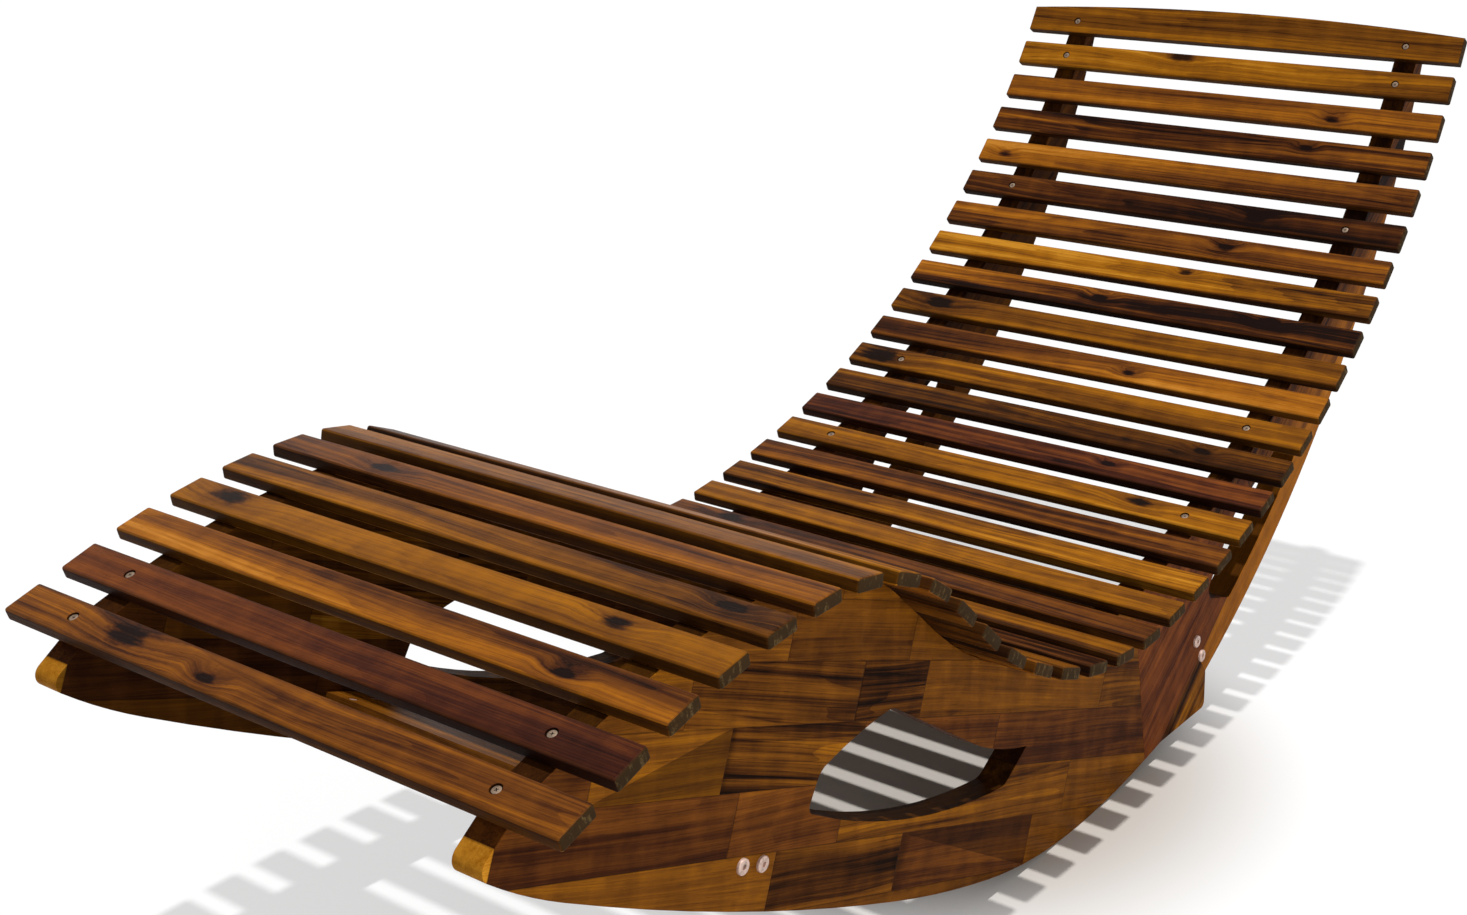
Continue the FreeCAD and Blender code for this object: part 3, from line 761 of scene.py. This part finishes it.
@dataclass
class SlatDeck:
    """The slats: planed boards with crisp eased edges, each with its own wood."""

    length: float = 600 * MM
    width: float = 34 * MM
    thickness: float = 12 * MM
    head_rise: float = 12 * MM
    arch_cuts: int = 23
    corner: float = 2.5 * MM
    top_ease: float = 0.7 * MM
    low_ease: float = 0.6 * MM
    screw_line: float = 230 * MM
    hole_radius: float = 4.8 * MM
    hole_depth: float = 1.7 * MM

    def board(self, arched: bool, screwed: bool) -> Piece:
        """Models one slat lying flat, its middle at the origin.

        Args:
            arched: whether its rear edge is arched, as on the head slat.
            screwed: whether it has screw holes.

        Returns:
            The slat.
        """
        slat = start_from(bpy.ops.mesh.primitive_cube_add, (self.width, self.length, self.thickness), size=1)
        if arched:
            self.arch(slat)
        select_edges(slat, lambda a, b: abs(a.z - b.z) > self.thickness / 2
                     and abs(abs(a.y) - self.length / 2) < TINY and abs(a.x) > self.width / 2 - TINY)
        bpy.ops.mesh.bevel(offset=self.corner, segments=4, affect="EDGES")
        if screwed:
            self.bore(slat)
            make_active(slat)
        for level, ease, segments in ((1, self.top_ease, 2), (-1, self.low_ease, 1)):
            height = level * self.thickness / 2
            select_edges(slat, lambda a, b: max(abs(a.z - height), abs(b.z - height)) < TINY
                         and self.on_rim(a, b))
            bpy.ops.mesh.bevel(offset=ease, segments=segments, affect="EDGES")
        deselect_all()
        return slat

    def on_rim(self, a: Vector, b: Vector) -> bool:
        """Tells an edge of a slat's outline from one across its face.

        Args:
            a: one end of the edge.
            b: the other end.

        Returns:
            Whether it lies on the outline.
        """
        half_width, half_length = self.width / 2, self.length / 2
        outer = all(abs(end.x) > half_width - TINY or abs(end.y) > half_length - self.corner - TINY
                    for end in (a, b))
        inside = max(abs(a.y), abs(b.y)) < half_length - self.corner / 2
        return outer and not (abs(a.y - b.y) < TINY and inside)

    def arch(self, slat: Piece) -> None:
        """Arches a slat's rear edge: crosscuts it and moves the cuts' rear ends out along an arc.

        Args:
            slat: the slat, lying flat.
        """
        make_active(slat)
        select_edges(slat, lambda a, b: abs(a.y - b.y) > self.length / 2)
        bpy.ops.mesh.subdivide(number_cuts=self.arch_cuts)
        mesh = bmesh.from_edit_mesh(slat.data)
        for vertex in mesh.verts:
            if vertex.co.x > 0:
                part = vertex.co.y / (self.length / 2)
                vertex.co.x += self.head_rise * (1 - part * part)
        bmesh.update_edit_mesh(slat.data)
        bpy.ops.object.mode_set(mode="OBJECT")

    def bore(self, slat: Piece) -> None:
        """Sinks the two screw holes into a slat's top face.

        Args:
            slat: the slat, lying flat.
        """
        for side in (-1, 1):
            cut_out(slat, start_from(bpy.ops.mesh.primitive_cylinder_add, vertices=HEAD_SIDES,
                                     radius=self.hole_radius, depth=self.hole_depth * 2,
                                     location=(0, side * self.screw_line, self.thickness / 2)))

    def sawn(self, face: bpy.types.MeshPolygon) -> float:
        """Tells how sawn a face of a flat slat is, which also sets the painted shade on its sides and screw
        holes.

        Args:
            face: the face.

        Returns:
            0 for planed, 0.5 for a side or a screw hole, 1 for an end.
        """
        if abs(face.normal.y) > MOSTLY and abs(face.center.y) > self.length / 2 - self.corner:
            return 1.0
        sunk = self.thickness / 2 - face.center.z
        in_hole = TINY < sunk < self.hole_depth + TINY and abs(face.center.x) < self.hole_radius \
            and abs(abs(face.center.y) - self.screw_line) < self.hole_radius
        return 0.5 if abs(face.normal.z) < EDGE_ON or in_hole else 0.0

    def dress(self, slat: Piece, look: WoodLook, offset: Vector, finish: Material) -> None:
        """Writes a slat's grain attributes while it lies flat, and gives it its wood.

        Args:
            slat: the slat, lying flat.
            look: what its wood looks like.
            offset: where in the tree its grain comes from.
            finish: the wood material.
        """
        mesh = slat.data
        points = [vertex.co.copy() for vertex in mesh.vertices]
        write_attributes(mesh, "POINT", {
            "grain": [point + offset for point in points],
            "spot": [look.spot(0, point.x, point.y) for point in points],
            "second_spot": [look.spot(1, point.x, point.y) for point in points],
            "tone": [look.tone.value - look.fade * point.y / self.length for point in points],
            "redness": [look.hue.value] * len(points),
            "figure": [look.figure.value] * len(points)})
        write_attributes(mesh, "FACE", {
            # sawn sides and ends, with painted shade on the sides and screw holes
            "cut": [self.sawn(face) for face in mesh.polygons],
            # painted shade on the eased top rims
            "worn": [float(EDGE_ON < face.normal.z < FLAT) for face in mesh.polygons]})
        give_finish(slat, finish)

    def build(self, finishes: Finishes, looks: dict[str, WoodLook],
              screwed: tuple[str, ...]) -> list[SlatPlace]:
        """Models a slat once and lays a copy in the place of each CAD slat.

        Args:
            finishes: the materials.
            looks: node name to look, from the foot to the head.
            screwed: the nodes that show screws.

        Returns:
            The places of the screwed slats.
        """
        patterns = {}
        screw_places = []
        for index, (name, look) in enumerate(looks.items()):
            kind = (name == "head_slat", name in screwed)
            if kind not in patterns:
                patterns[kind] = self.board(*kind)
            slat = copy_of(patterns[kind], "wood_" + name)
            shift = random.Random(index).uniform
            offset = Vector((0.3 * index + shift(0, 0.1), 1.7 * index + shift(0, 1), 0.2 * index))
            self.dress(slat, look, offset, finishes.slat)
            place = SlatPlace.of_node(name, self.width)
            slat.data.transform(place.matrix())
            smooth(slat)
            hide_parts(name)
            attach(slat, "root")
            if name in screwed:
                screw_places.append(place)
        for pattern in patterns.values():
            bpy.data.objects.remove(pattern)
        LOG.info("laid %d slats", len(looks))
        return screw_places


@dataclass
class Screws:
    """Countersunk screws with a cross recess, a little below the slats' faces."""

    radius: float = 3.8 * MM
    depth: float = 1.4 * MM
    length: float = 31 * MM
    shank: float = 2.0 * MM
    recess: float = 1.7 * MM
    slot_width: float = 0.8 * MM
    slot_depth: float = 0.8 * MM
    rim: float = 0.35 * MM
    sunk: float = 0.9 * MM
    spin: float = 37.0

    def model(self) -> Piece:
        """Models one screw upright, its head's top at the origin.

        Returns:
            The screw.
        """
        screw = start_from(bpy.ops.mesh.primitive_cone_add, vertices=HEAD_SIDES, radius1=self.shank,
                           radius2=self.radius, depth=2 * self.depth, location=(0, 0, -self.depth))
        ease_top(screw, self.rim, 2)
        for turn in (45, 135):
            cut_out(screw, start_from(bpy.ops.mesh.primitive_cube_add,
                                      (2 * self.recess, self.slot_width, 2 * self.slot_depth), size=1,
                                      rotation=(0, 0, math.radians(turn))))
        add_shank(screw, self.shank, -2 * self.depth, self.length, 16)
        return screw

    def build(self, finishes: Finishes, deck: SlatDeck, places: list[SlatPlace]) -> None:
        """Sets a pair of screws in each screwed slat, as one piece.

        Args:
            finishes: the materials.
            deck: the slats' sizes.
            places: the screwed slats' places.
        """
        pattern = self.model()
        copies = []
        for place in places:
            for side in (-1, 1):
                screw = copy_of(pattern, "screw")
                head = Vector((0, side * deck.screw_line, deck.thickness / 2 - self.sunk))
                spin = Matrix.Rotation(math.radians(self.spin * len(copies)), 4, "Z")
                screw.data.transform(place.matrix() @ Matrix.Translation(head) @ spin)
                copies.append(screw)
        bpy.data.objects.remove(pattern)
        screws = join_copies(copies, "countersunk_screws", finishes.screw)
        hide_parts("slat_screws")
        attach(screws, "root")
        LOG.info("set %d screws", len(copies))


@dataclass
class Bolts:
    """Flat-headed bolts with a hexagon socket, through the side boards into the stretchers."""

    head_radius: float = 6.5 * MM
    head_height: float = 2.5 * MM
    rim: float = 0.9 * MM
    socket_radius: float = 2.4 * MM
    socket_depth: float = 1.9 * MM
    shank: float = 3.0 * MM
    sides: int = 40
    spin: float = 0.7

    def model(self, length: float) -> Piece:
        """Models one bolt upright, its head's top at the origin.

        Args:
            length: from the head's top to the thread's end.

        Returns:
            The bolt.
        """
        bolt = start_from(bpy.ops.mesh.primitive_cylinder_add, vertices=self.sides, radius=self.head_radius,
                          depth=self.head_height, location=(0, 0, -self.head_height / 2))
        ease_top(bolt, self.rim, 3)
        cut_out(bolt, start_from(bpy.ops.mesh.primitive_cylinder_add, vertices=6, radius=self.socket_radius,
                                 depth=2 * self.socket_depth))
        add_shank(bolt, self.shank, -self.head_height, length - self.head_height, 24)
        return bolt

    def build(self, finishes: Finishes) -> None:
        """Puts a bolt in the place of each CAD bolt, as one piece.

        Args:
            finishes: the materials.
        """
        points = [vertex.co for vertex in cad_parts["stretcher_bolts"].data.vertices]
        outer = max(abs(point.y) for point in points)
        length = outer - min(abs(point.y) for point in points)
        rims = islands([point for point in points if abs(point.y) > outer - 0.1 * MM], self.head_radius)
        pattern = self.model(length)
        copies = []
        for rim in rims:
            side = 1 if rim[0].y > 0 else -1
            centre = Vector([(min(ends) + max(ends)) / 2 for ends in zip(*rim)])
            bolt = copy_of(pattern, "bolt")
            outwards = Matrix.Rotation(math.radians(-90 * side), 4, "X")
            spin = Matrix.Rotation(self.spin * len(copies), 4, "Z")
            bolt.data.transform(Matrix.Translation(centre) @ outwards @ spin)
            copies.append(bolt)
        bpy.data.objects.remove(pattern)
        bolts = join_copies(copies, "socket_bolts", finishes.bolt)
        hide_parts("stretcher_bolts")
        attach(bolts, "root")
        LOG.info("set %d bolts %.0f mm long", len(copies), length / MM)


@dataclass(frozen=True)
class Stave:
    """One stave of a glued board: the X of its far end on its row's middle line, in mm, and its wood."""

    end: float
    look: WoodLook


@dataclass
class SideBoard:
    """A side board glued from staves, made from its CAD solid with rounded edges."""

    node: str
    partner: str
    slope: float
    first_row: float
    row_width: float
    rows: tuple[tuple[Stave, ...], ...]
    seed: int
    roundover: float = 4.5 * MM
    largest_bore: float = 30 * MM
    joint_gap: float = 0.5 * MM
    nose_x: float = -700 * MM
    nose_turn: float = -0.5
    # Painted shade on the upper edges under the slats and on the inner faces; the other edges are darker as
    # sawn wood
    upper_edge_shade: float = 0.5
    lower_dark: float = 0.15
    inner_face_shade: float = 0.42
    largest_lean: float = 0.05

    def axes(self) -> tuple[Vector, Vector]:
        """The direction along the staves and the one across them."""
        slope = math.radians(self.slope)
        return Vector((math.cos(slope), 0, math.sin(slope))), Vector((-math.sin(slope), 0, math.cos(slope)))

    def copy_node(self) -> Piece:
        """Copies the CAD solid as one clean skin with rounded rims.

        Returns:
            The copy, with its flat faces whole.
        """
        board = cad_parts[self.node].copy()
        board.data = board.data.copy()
        board.parent = None
        board.matrix_world = Matrix.Identity(4)
        bpy.context.collection.objects.link(board)
        board.name = "glued_" + self.node
        make_active(board)
        bpy.ops.object.mode_set(mode="EDIT")
        bpy.ops.mesh.select_all(action="SELECT")
        bpy.ops.mesh.remove_doubles(threshold=TINY)
        bpy.ops.mesh.customdata_custom_splitnormals_clear()
        bpy.ops.mesh.dissolve_limited(angle_limit=math.radians(0.5))
        self.select_rims(board)
        bpy.ops.mesh.bevel(offset=self.roundover, segments=4, affect="EDGES", loop_slide=False,
                           clamp_overlap=True)
        bpy.ops.object.mode_set(mode="OBJECT")
        return board

    def select_rims(self, board: Piece) -> None:
        """Selects the edges round the board's two faces, but not those of bores or of the glued joint.

        Args:
            board: the board, in edit mode.
        """
        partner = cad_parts[self.partner].data
        joint = BVHTree.FromPolygons([vertex.co for vertex in partner.vertices],
                                     [tuple(face.vertices) for face in partner.polygons])
        bpy.ops.mesh.select_mode(type="EDGE")
        bpy.ops.mesh.select_all(action="DESELECT")
        mesh = bmesh.from_edit_mesh(board.data)
        rims = []
        for edge in mesh.edges:
            if len(edge.link_faces) == 2:
                facing = sorted(abs(face.normal.y) for face in edge.link_faces)
                middle = (edge.verts[0].co + edge.verts[1].co) / 2
                apart = joint.find_nearest(middle)[3] > self.joint_gap
                if facing[0] < EDGE_ON and facing[1] > FACING and apart:
                    rims.append(edge)
        for loop in self.chains(rims):
            points = [vertex.co for edge in loop for vertex in edge.verts]
            if max(p.x for p in points) - min(p.x for p in points) > self.largest_bore:
                for edge in loop:
                    edge.select = True
        mesh.select_flush(True)
        bmesh.update_edit_mesh(board.data)

    @staticmethod
    def chains(edges: list[bmesh.types.BMEdge]) -> list[list[bmesh.types.BMEdge]]:
        """Sorts edges into chains that share vertices.

        Args:
            edges: the edges.

        Returns:
            The chains.
        """
        left = set(edges)
        found = []
        while left:
            chain = [left.pop()]
            for edge in chain:
                for vertex in edge.verts:
                    near = [other for other in vertex.link_edges if other in left]
                    left.difference_update(near)
                    chain.extend(near)
            found.append(chain)
        return found

    def reach_of(self, row: int, stave: Stave) -> float:
        """How far along its row a stave ends.

        Args:
            row: its row.
            stave: the stave.

        Returns:
            The distance along the staves from the origin.
        """
        along, across = self.axes()
        middle = self.first_row + (row + 0.5) * self.row_width
        height = (middle - across.x * stave.end * MM) / across.z
        return along.x * stave.end * MM + along.z * height

    def cut_staves(self, board: Piece) -> None:
        """Cuts the skin along the rows and then across each row at its staves' ends.

        Args:
            board: the board.
        """
        along, across = self.axes()
        make_active(board)
        bpy.ops.object.mode_set(mode="EDIT")
        for index in range(1, len(self.rows)):
            bpy.ops.mesh.select_all(action="SELECT")
            line = across * (self.first_row + index * self.row_width)
            bpy.ops.mesh.bisect(plane_co=line, plane_no=across)
        for index, staves in enumerate(self.rows):
            for stave in staves[:-1]:
                select_parts(board, "FACE",
                             lambda face: self.row_of(face.calc_center_median().dot(across)) == index)
                bpy.ops.mesh.bisect(plane_co=along * self.reach_of(index, stave), plane_no=along)
        bpy.ops.object.mode_set(mode="OBJECT")

    def row_of(self, height: float) -> int:
        """The row that a height across the staves falls in."""
        row = math.floor((height - self.first_row) / self.row_width)
        return min(max(row, 0), len(self.rows) - 1)

    def sawn(self, face: bpy.types.MeshPolygon) -> float:
        """How dark a face is: painted shade on edges that look up, but not on the nose, and on the inner
        side; the other edges darker as sawn wood, none on the outer side.
        """
        if abs(face.normal.y) < EDGE_ON:
            nose = face.center.x < self.nose_x and face.normal.x < self.nose_turn
            return self.upper_edge_shade if face.normal.z > EDGE_ON and not nose else self.lower_dark
        return self.inner_face_shade if face.normal.y * face.center.y < 0 else 0.0

    def dress(self, board: Piece, finish: Material) -> None:
        """Writes each stave's grain, look and distance to its glue lines.

        Args:
            board: the board, cut into staves.
            finish: the wood material.
        """
        along, across = self.axes()
        mesh = board.data
        corners = {"grain": [], "spot": [], "second_spot": [], "seam_gaps": []}
        faces = {"tone": [], "redness": [], "figure": [], "cut": [], "worn": []}
        for face in mesh.polygons:
            row = self.row_of(face.center.dot(across))
            ends = [self.reach_of(row, stave) for stave in self.rows[row][:-1]]
            column = sum(face.center.dot(along) >= end for end in ends)
            look = self.rows[row][column].look
            start, end = ([-FAR] + ends + [FAR])[column:column + 2]
            low = self.first_row + row * self.row_width if row else -FAR
            high = self.first_row + (row + 1) * self.row_width if row < len(self.rows) - 1 else FAR
            shift = random.Random(self.seed + 37 * row + 5 * column)
            offset = Vector((shift.uniform(0, 5), shift.uniform(0, 9), shift.uniform(0, 5)))
            lean = shift.uniform(-self.largest_lean, self.largest_lean)
            for corner in face.vertices:
                point = mesh.vertices[corner].co
                u, v = point.dot(along), point.dot(across)
                corners["grain"].append(Vector((v + lean * u, u, point.y)) + offset)
                corners["spot"].append(look.spot(0, v, u))
                corners["second_spot"].append(look.spot(1, v, u))
                corners["seam_gaps"].append(Vector((v - low, high - v, min(u - start, end - u))))
            # The cut carries the painted shade of the upper edges and inner faces; the boards get no painted
            # rim shade
            values = (look.tone.value, look.hue.value, look.figure.value, self.sawn(face), 0.0)
            for name, value in zip(faces, values):
                faces[name].append(value)
        write_attributes(mesh, "CORNER", corners)
        write_attributes(mesh, "FACE", faces)
        give_finish(board, finish)

    def build(self, finishes: Finishes) -> None:
        """Makes the board and lets it stand for its CAD node.

        Args:
            finishes: the materials.
        """
        board = self.copy_node()
        self.cut_staves(board)
        self.dress(board, finishes.board)
        smooth(board, degrees=40.0)
        flat = board.modifiers.new("flat_faces", "WEIGHTED_NORMAL")
        flat.keep_sharp = True
        apply_modifiers(board)
        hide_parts(self.node)
        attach(board, "root")
        LOG.info("glued %s from %d staves", self.node, sum(len(staves) for staves in self.rows))


def wood(tone: Tone, *knots: tuple[float, float, float], hue: Hue = Hue.YELLOW,
         figure: Figure = Figure.STREAKED, fade: float = 0.0) -> WoodLook:
    """A wood look, with its knots given in millimetres: across, along and radius."""
    return WoodLook(tone, hue, figure, tuple(Knot(*(part * MM for part in knot)) for knot in knots), fade)


def plain(tone: Tone, hue: Hue = Hue.YELLOW) -> WoodLook:
    """A plain wood look without knots."""
    return wood(tone, hue=hue, figure=Figure.PLAIN)


W, C, U, B, A = Tone.WALNUT, Tone.CHESTNUT, Tone.UMBER, Tone.BROWN, Tone.AMBER
H, G, S = Tone.HONEY, Tone.GOLD, Tone.STRAW
WARM, RED = Hue.WARM, Hue.RED
PLAIN, WILD = Figure.PLAIN, Figure.WILD

# From the foot to the head
SLAT_WOODS = (
    wood(A, (2, 165, 11), (-6, 60, 5), hue=WARM, fade=0.08), wood(C, hue=RED, figure=PLAIN, fade=-0.12),
    wood(G, (-5, -195, 5), hue=WARM, fade=0.06), wood(H, (4, 245, 10), (3, -190, 7), figure=PLAIN),
    wood(U, (4, -250, 6), fade=-0.08), wood(A, (-2, 170, 7), hue=WARM), wood(B), wood(B, fade=0.22),
    wood(B, hue=WARM), wood(C), wood(C), wood(C, figure=WILD, fade=0.1), wood(B, hue=WARM), wood(C),
    wood(B, (0, -120, 5), hue=WARM, figure=WILD), wood(B), wood(B, (4, 220, 7), hue=WARM),
    wood(B, fade=-0.1), wood(H, figure=WILD, fade=0.08), wood(C, hue=WARM),
    wood(G, (5, -175, 7), fade=-0.14), wood(C, (3, -110, 4), hue=RED), wood(B, (2, -200, 5)),
    wood(B, (0, 262, 13), fade=0.36), wood(B, (-4, -60, 4), hue=WARM, fade=0.2),
    wood(H, (2, 235, 9), fade=0.08), wood(B, (2, 30, 5), (8, -190, 7), hue=WARM, figure=WILD, fade=-0.08),
    wood(B, (8, -60, 4), figure=WILD), wood(B, (2, -95, 6), hue=WARM, figure=WILD, fade=0.12),
    wood(C, (2, -118, 7), hue=WARM), wood(H, (-4, 262, 5), hue=WARM, fade=-0.24),
    wood(C, (4, -145, 4), hue=WARM, figure=WILD), wood(U, (-5, -165, 5), hue=WARM),
    wood(H, (12, 60, 9), fade=-0.22), wood(A, fade=0.06),
)
SLAT_NAMES = ["slat_%02d" % number for number in range(1, len(SLAT_WOODS))] + ["head_slat"]
SCREWED = ("slat_01", "slat_02", "slat_21", "slat_24", "slat_30", "slat_34", "head_slat")

# The glued boards' rows of staves, from the lowest row up and from the foot to the head
REST = 9000
ROCKER_ROWS = (
    (Stave(REST, plain(U)),),
    (Stave(-513, plain(B)), Stave(-343, wood(U)), Stave(-130, plain(C, WARM)), Stave(42, plain(B)),
     Stave(REST, wood(U, figure=WILD))),
    (Stave(-792, plain(S)), Stave(-556, plain(C, WARM)), Stave(-420, plain(U, WARM)), Stave(-60, wood(B)),
     Stave(REST, plain(B))),
    (Stave(-700, plain(U, WARM)), Stave(-562, plain(A)), Stave(-395, wood(U, figure=WILD)),
     Stave(-190, plain(U, WARM)), Stave(REST, plain(C, WARM))),
    (Stave(-600, plain(A)), Stave(-395, wood(U)), Stave(-303, wood(W, figure=WILD)), Stave(10, plain(B)),
     Stave(REST, wood(U))),
    (Stave(-480, plain(U)), Stave(-318, plain(U)), Stave(REST, plain(B))),
    (Stave(-410, plain(U)), Stave(REST, plain(B))),
    (Stave(REST, plain(B)),),
)
BACK_ROWS = (
    (Stave(238, wood(C, figure=WILD)), Stave(REST, plain(G, WARM))),
    (Stave(420, plain(U, RED)), Stave(REST, plain(B, WARM))),
    (Stave(330, plain(U, RED)), Stave(REST, wood(C, hue=WARM))),
    (Stave(240, plain(U, RED)), Stave(REST, wood(B, hue=WARM))),
    (Stave(420, plain(U, RED)), Stave(REST, plain(C, WARM))),
    (Stave(REST, plain(C, WARM)),),
)


@dataclass
class Studio:
    """The floor, the light and the camera."""

    floor_half: float = 9.0
    camera_place: tuple[float, float, float] = (-1.5752, -1.0918, 0.9886)
    heading: float = 54.519
    dip: float = 12.277
    focal_pixels: float = 1974.7
    centre_pixel: tuple[float, float] = (867.2, 214.4)
    photo: tuple[float, float] = (1467.0, 915.0)
    sensor: float = 36.0
    clip: tuple[float, float] = (0.05, 50.0)
    # The floor's colours: as other rays see it, as painted shade under the lounger, and under the painted
    # glow away from it
    unseen_floor: Colour = (0.7, 0.7, 0.7, 1.0)
    shaded_floor: Colour = (0.58, 0.54, 0.49, 1.0)
    lit_floor: Colour = (0.4, 0.4, 0.4, 1.0)
    floor_glow: float = 0.6
    shade_middle: tuple[float, float, float] = (0.0, -0.05, 0.0)
    shade_reach: tuple[float, float] = (0.2, 0.42)
    surround: float = 0.28
    key_turn: tuple[float, float] = (7.0, 2.0)
    key_strength: float = 2.4
    key_spread: float = 1.6
    side_place: tuple[float, float, float] = (-1.0, -3.1, 1.0)
    side_aim: tuple[float, float, float] = (-0.1, 0.0, 0.2)
    side_strength: float = 42.0
    side_size: float = 2.2

    def floor(self) -> None:
        """Lays a floor with painted shade: a darker colour under the lounger, and away from it a glow that
        only the camera sees, painting light over the cast shadows so that it looks white.
        """
        floor = start_from(bpy.ops.mesh.primitive_plane_add, size=2 * self.floor_half)
        floor.name = "studio_floor"
        material, n, bsdf = Finishes.start("floor_paint")
        seen = n.add("LightPath").outputs["Is Camera Ray"]
        place = n.add("TexCoord").outputs["Object"]
        away = n.add("VectorMath", {0: place, 1: self.shade_middle}, operation="DISTANCE").outputs["Value"]
        # Painted light: away from the lounger, camera rays see a glow over the cast shadows
        camera_glow_mask = n.math("MULTIPLY", n.span(away, *self.shade_reach), seen)
        lit = n.mix(camera_glow_mask, self.shaded_floor, self.lit_floor)
        n.feed(bsdf, {"Base Color": n.mix(seen, self.unseen_floor, lit), "Emission Color": (1, 1, 1, 1),
                      "Emission Strength": n.math("MULTIPLY", camera_glow_mask, self.floor_glow), "Roughness": 0.9,
                      "Specular IOR Level": 0.0})
        floor.data.materials.append(material)

    def world(self) -> None:
        """A soft surround that the camera and reflections see as white."""
        world = bpy.data.worlds.new("studio")
        bpy.context.scene.world = world
        world.use_nodes = True
        n = Nodes(world.node_tree)
        back = world.node_tree.nodes["Background"]
        path = n.add("LightPath")
        seen = n.math("MAXIMUM", path.outputs["Is Camera Ray"], path.outputs["Is Glossy Ray"])
        seen = n.math("MAXIMUM", seen, path.outputs["Is Transmission Ray"])
        strength = n.math("ADD", n.math("MULTIPLY", seen, 1 - self.surround), self.surround)
        n.feed(back, {"Color": (1, 1, 1, 1), "Strength": strength})

    def lamps(self) -> None:
        """A high key that draws the slats' stripes on the floor, and a soft light on the near side."""
        deselect_all()
        bpy.ops.object.light_add(type="SUN", rotation=[math.radians(turn) for turn in self.key_turn] + [0])
        key = bpy.context.object
        key.name = "key"
        key.data.energy = self.key_strength
        key.data.angle = math.radians(self.key_spread)
        bpy.ops.object.light_add(type="AREA", location=self.side_place)
        side = bpy.context.object
        side.name = "side"
        side.data.energy = self.side_strength
        side.data.size = self.side_size
        side.rotation_euler = (Vector(self.side_aim) - side.location).to_track_quat("-Z", "Y").to_euler()

    def camera(self) -> None:
        """The camera at the photograph's place and angle."""
        width, height = self.photo
        deselect_all()
        bpy.ops.object.camera_add(
            location=self.camera_place,
            rotation=(math.radians(90 - self.dip), 0, math.radians(-self.heading)))
        camera = bpy.context.object
        camera.data.sensor_width = self.sensor
        camera.data.lens = self.sensor * self.focal_pixels / width
        camera.data.shift_x = (width / 2 - self.centre_pixel[0]) / width
        camera.data.shift_y = (self.centre_pixel[1] - height / 2) / width
        camera.data.clip_start, camera.data.clip_end = self.clip
        bpy.context.scene.camera = camera

    def build(self) -> None:
        """Sets everything up."""
        self.floor()
        self.world()
        self.lamps()
        self.camera()
        bpy.context.scene.view_settings.view_transform = "Standard"


def dress_hidden(finishes: Finishes) -> None:
    """Gives the CAD nodes that stay their materials.

    Args:
        finishes: the materials.
    """
    for name, material in (("barrel_nuts", finishes.bolt), ("joint_dowels", finishes.beech),
                           ("front_stretcher", finishes.stretcher), ("rear_stretcher", finishes.stretcher)):
        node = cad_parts[name]
        for slot in node.material_slots:
            slot.material = material


def main() -> None:
    """Builds the lounger's looks and the studio."""
    logging.basicConfig(level=logging.INFO)
    finishes = Finishes()
    deck = SlatDeck()
    screw_places = deck.build(finishes, dict(zip(SLAT_NAMES, SLAT_WOODS)), SCREWED)
    Screws().build(finishes, deck, screw_places)
    Bolts().build(finishes)
    for seed, hand in enumerate(("right", "left")):
        rocker, back = "rocker_board_" + hand, "back_board_" + hand
        SideBoard(rocker, back, slope=-20.5, first_row=-90 * MM, row_width=48.5 * MM, rows=ROCKER_ROWS,
                  seed=100 * seed).build(finishes)
        SideBoard(back, rocker, slope=36.0, first_row=-116 * MM, row_width=48 * MM, rows=BACK_ROWS,
                  seed=100 * seed + 50).build(finishes)
    dress_hidden(finishes)
    Studio().build()


if __name__ == "__main__":
    main()
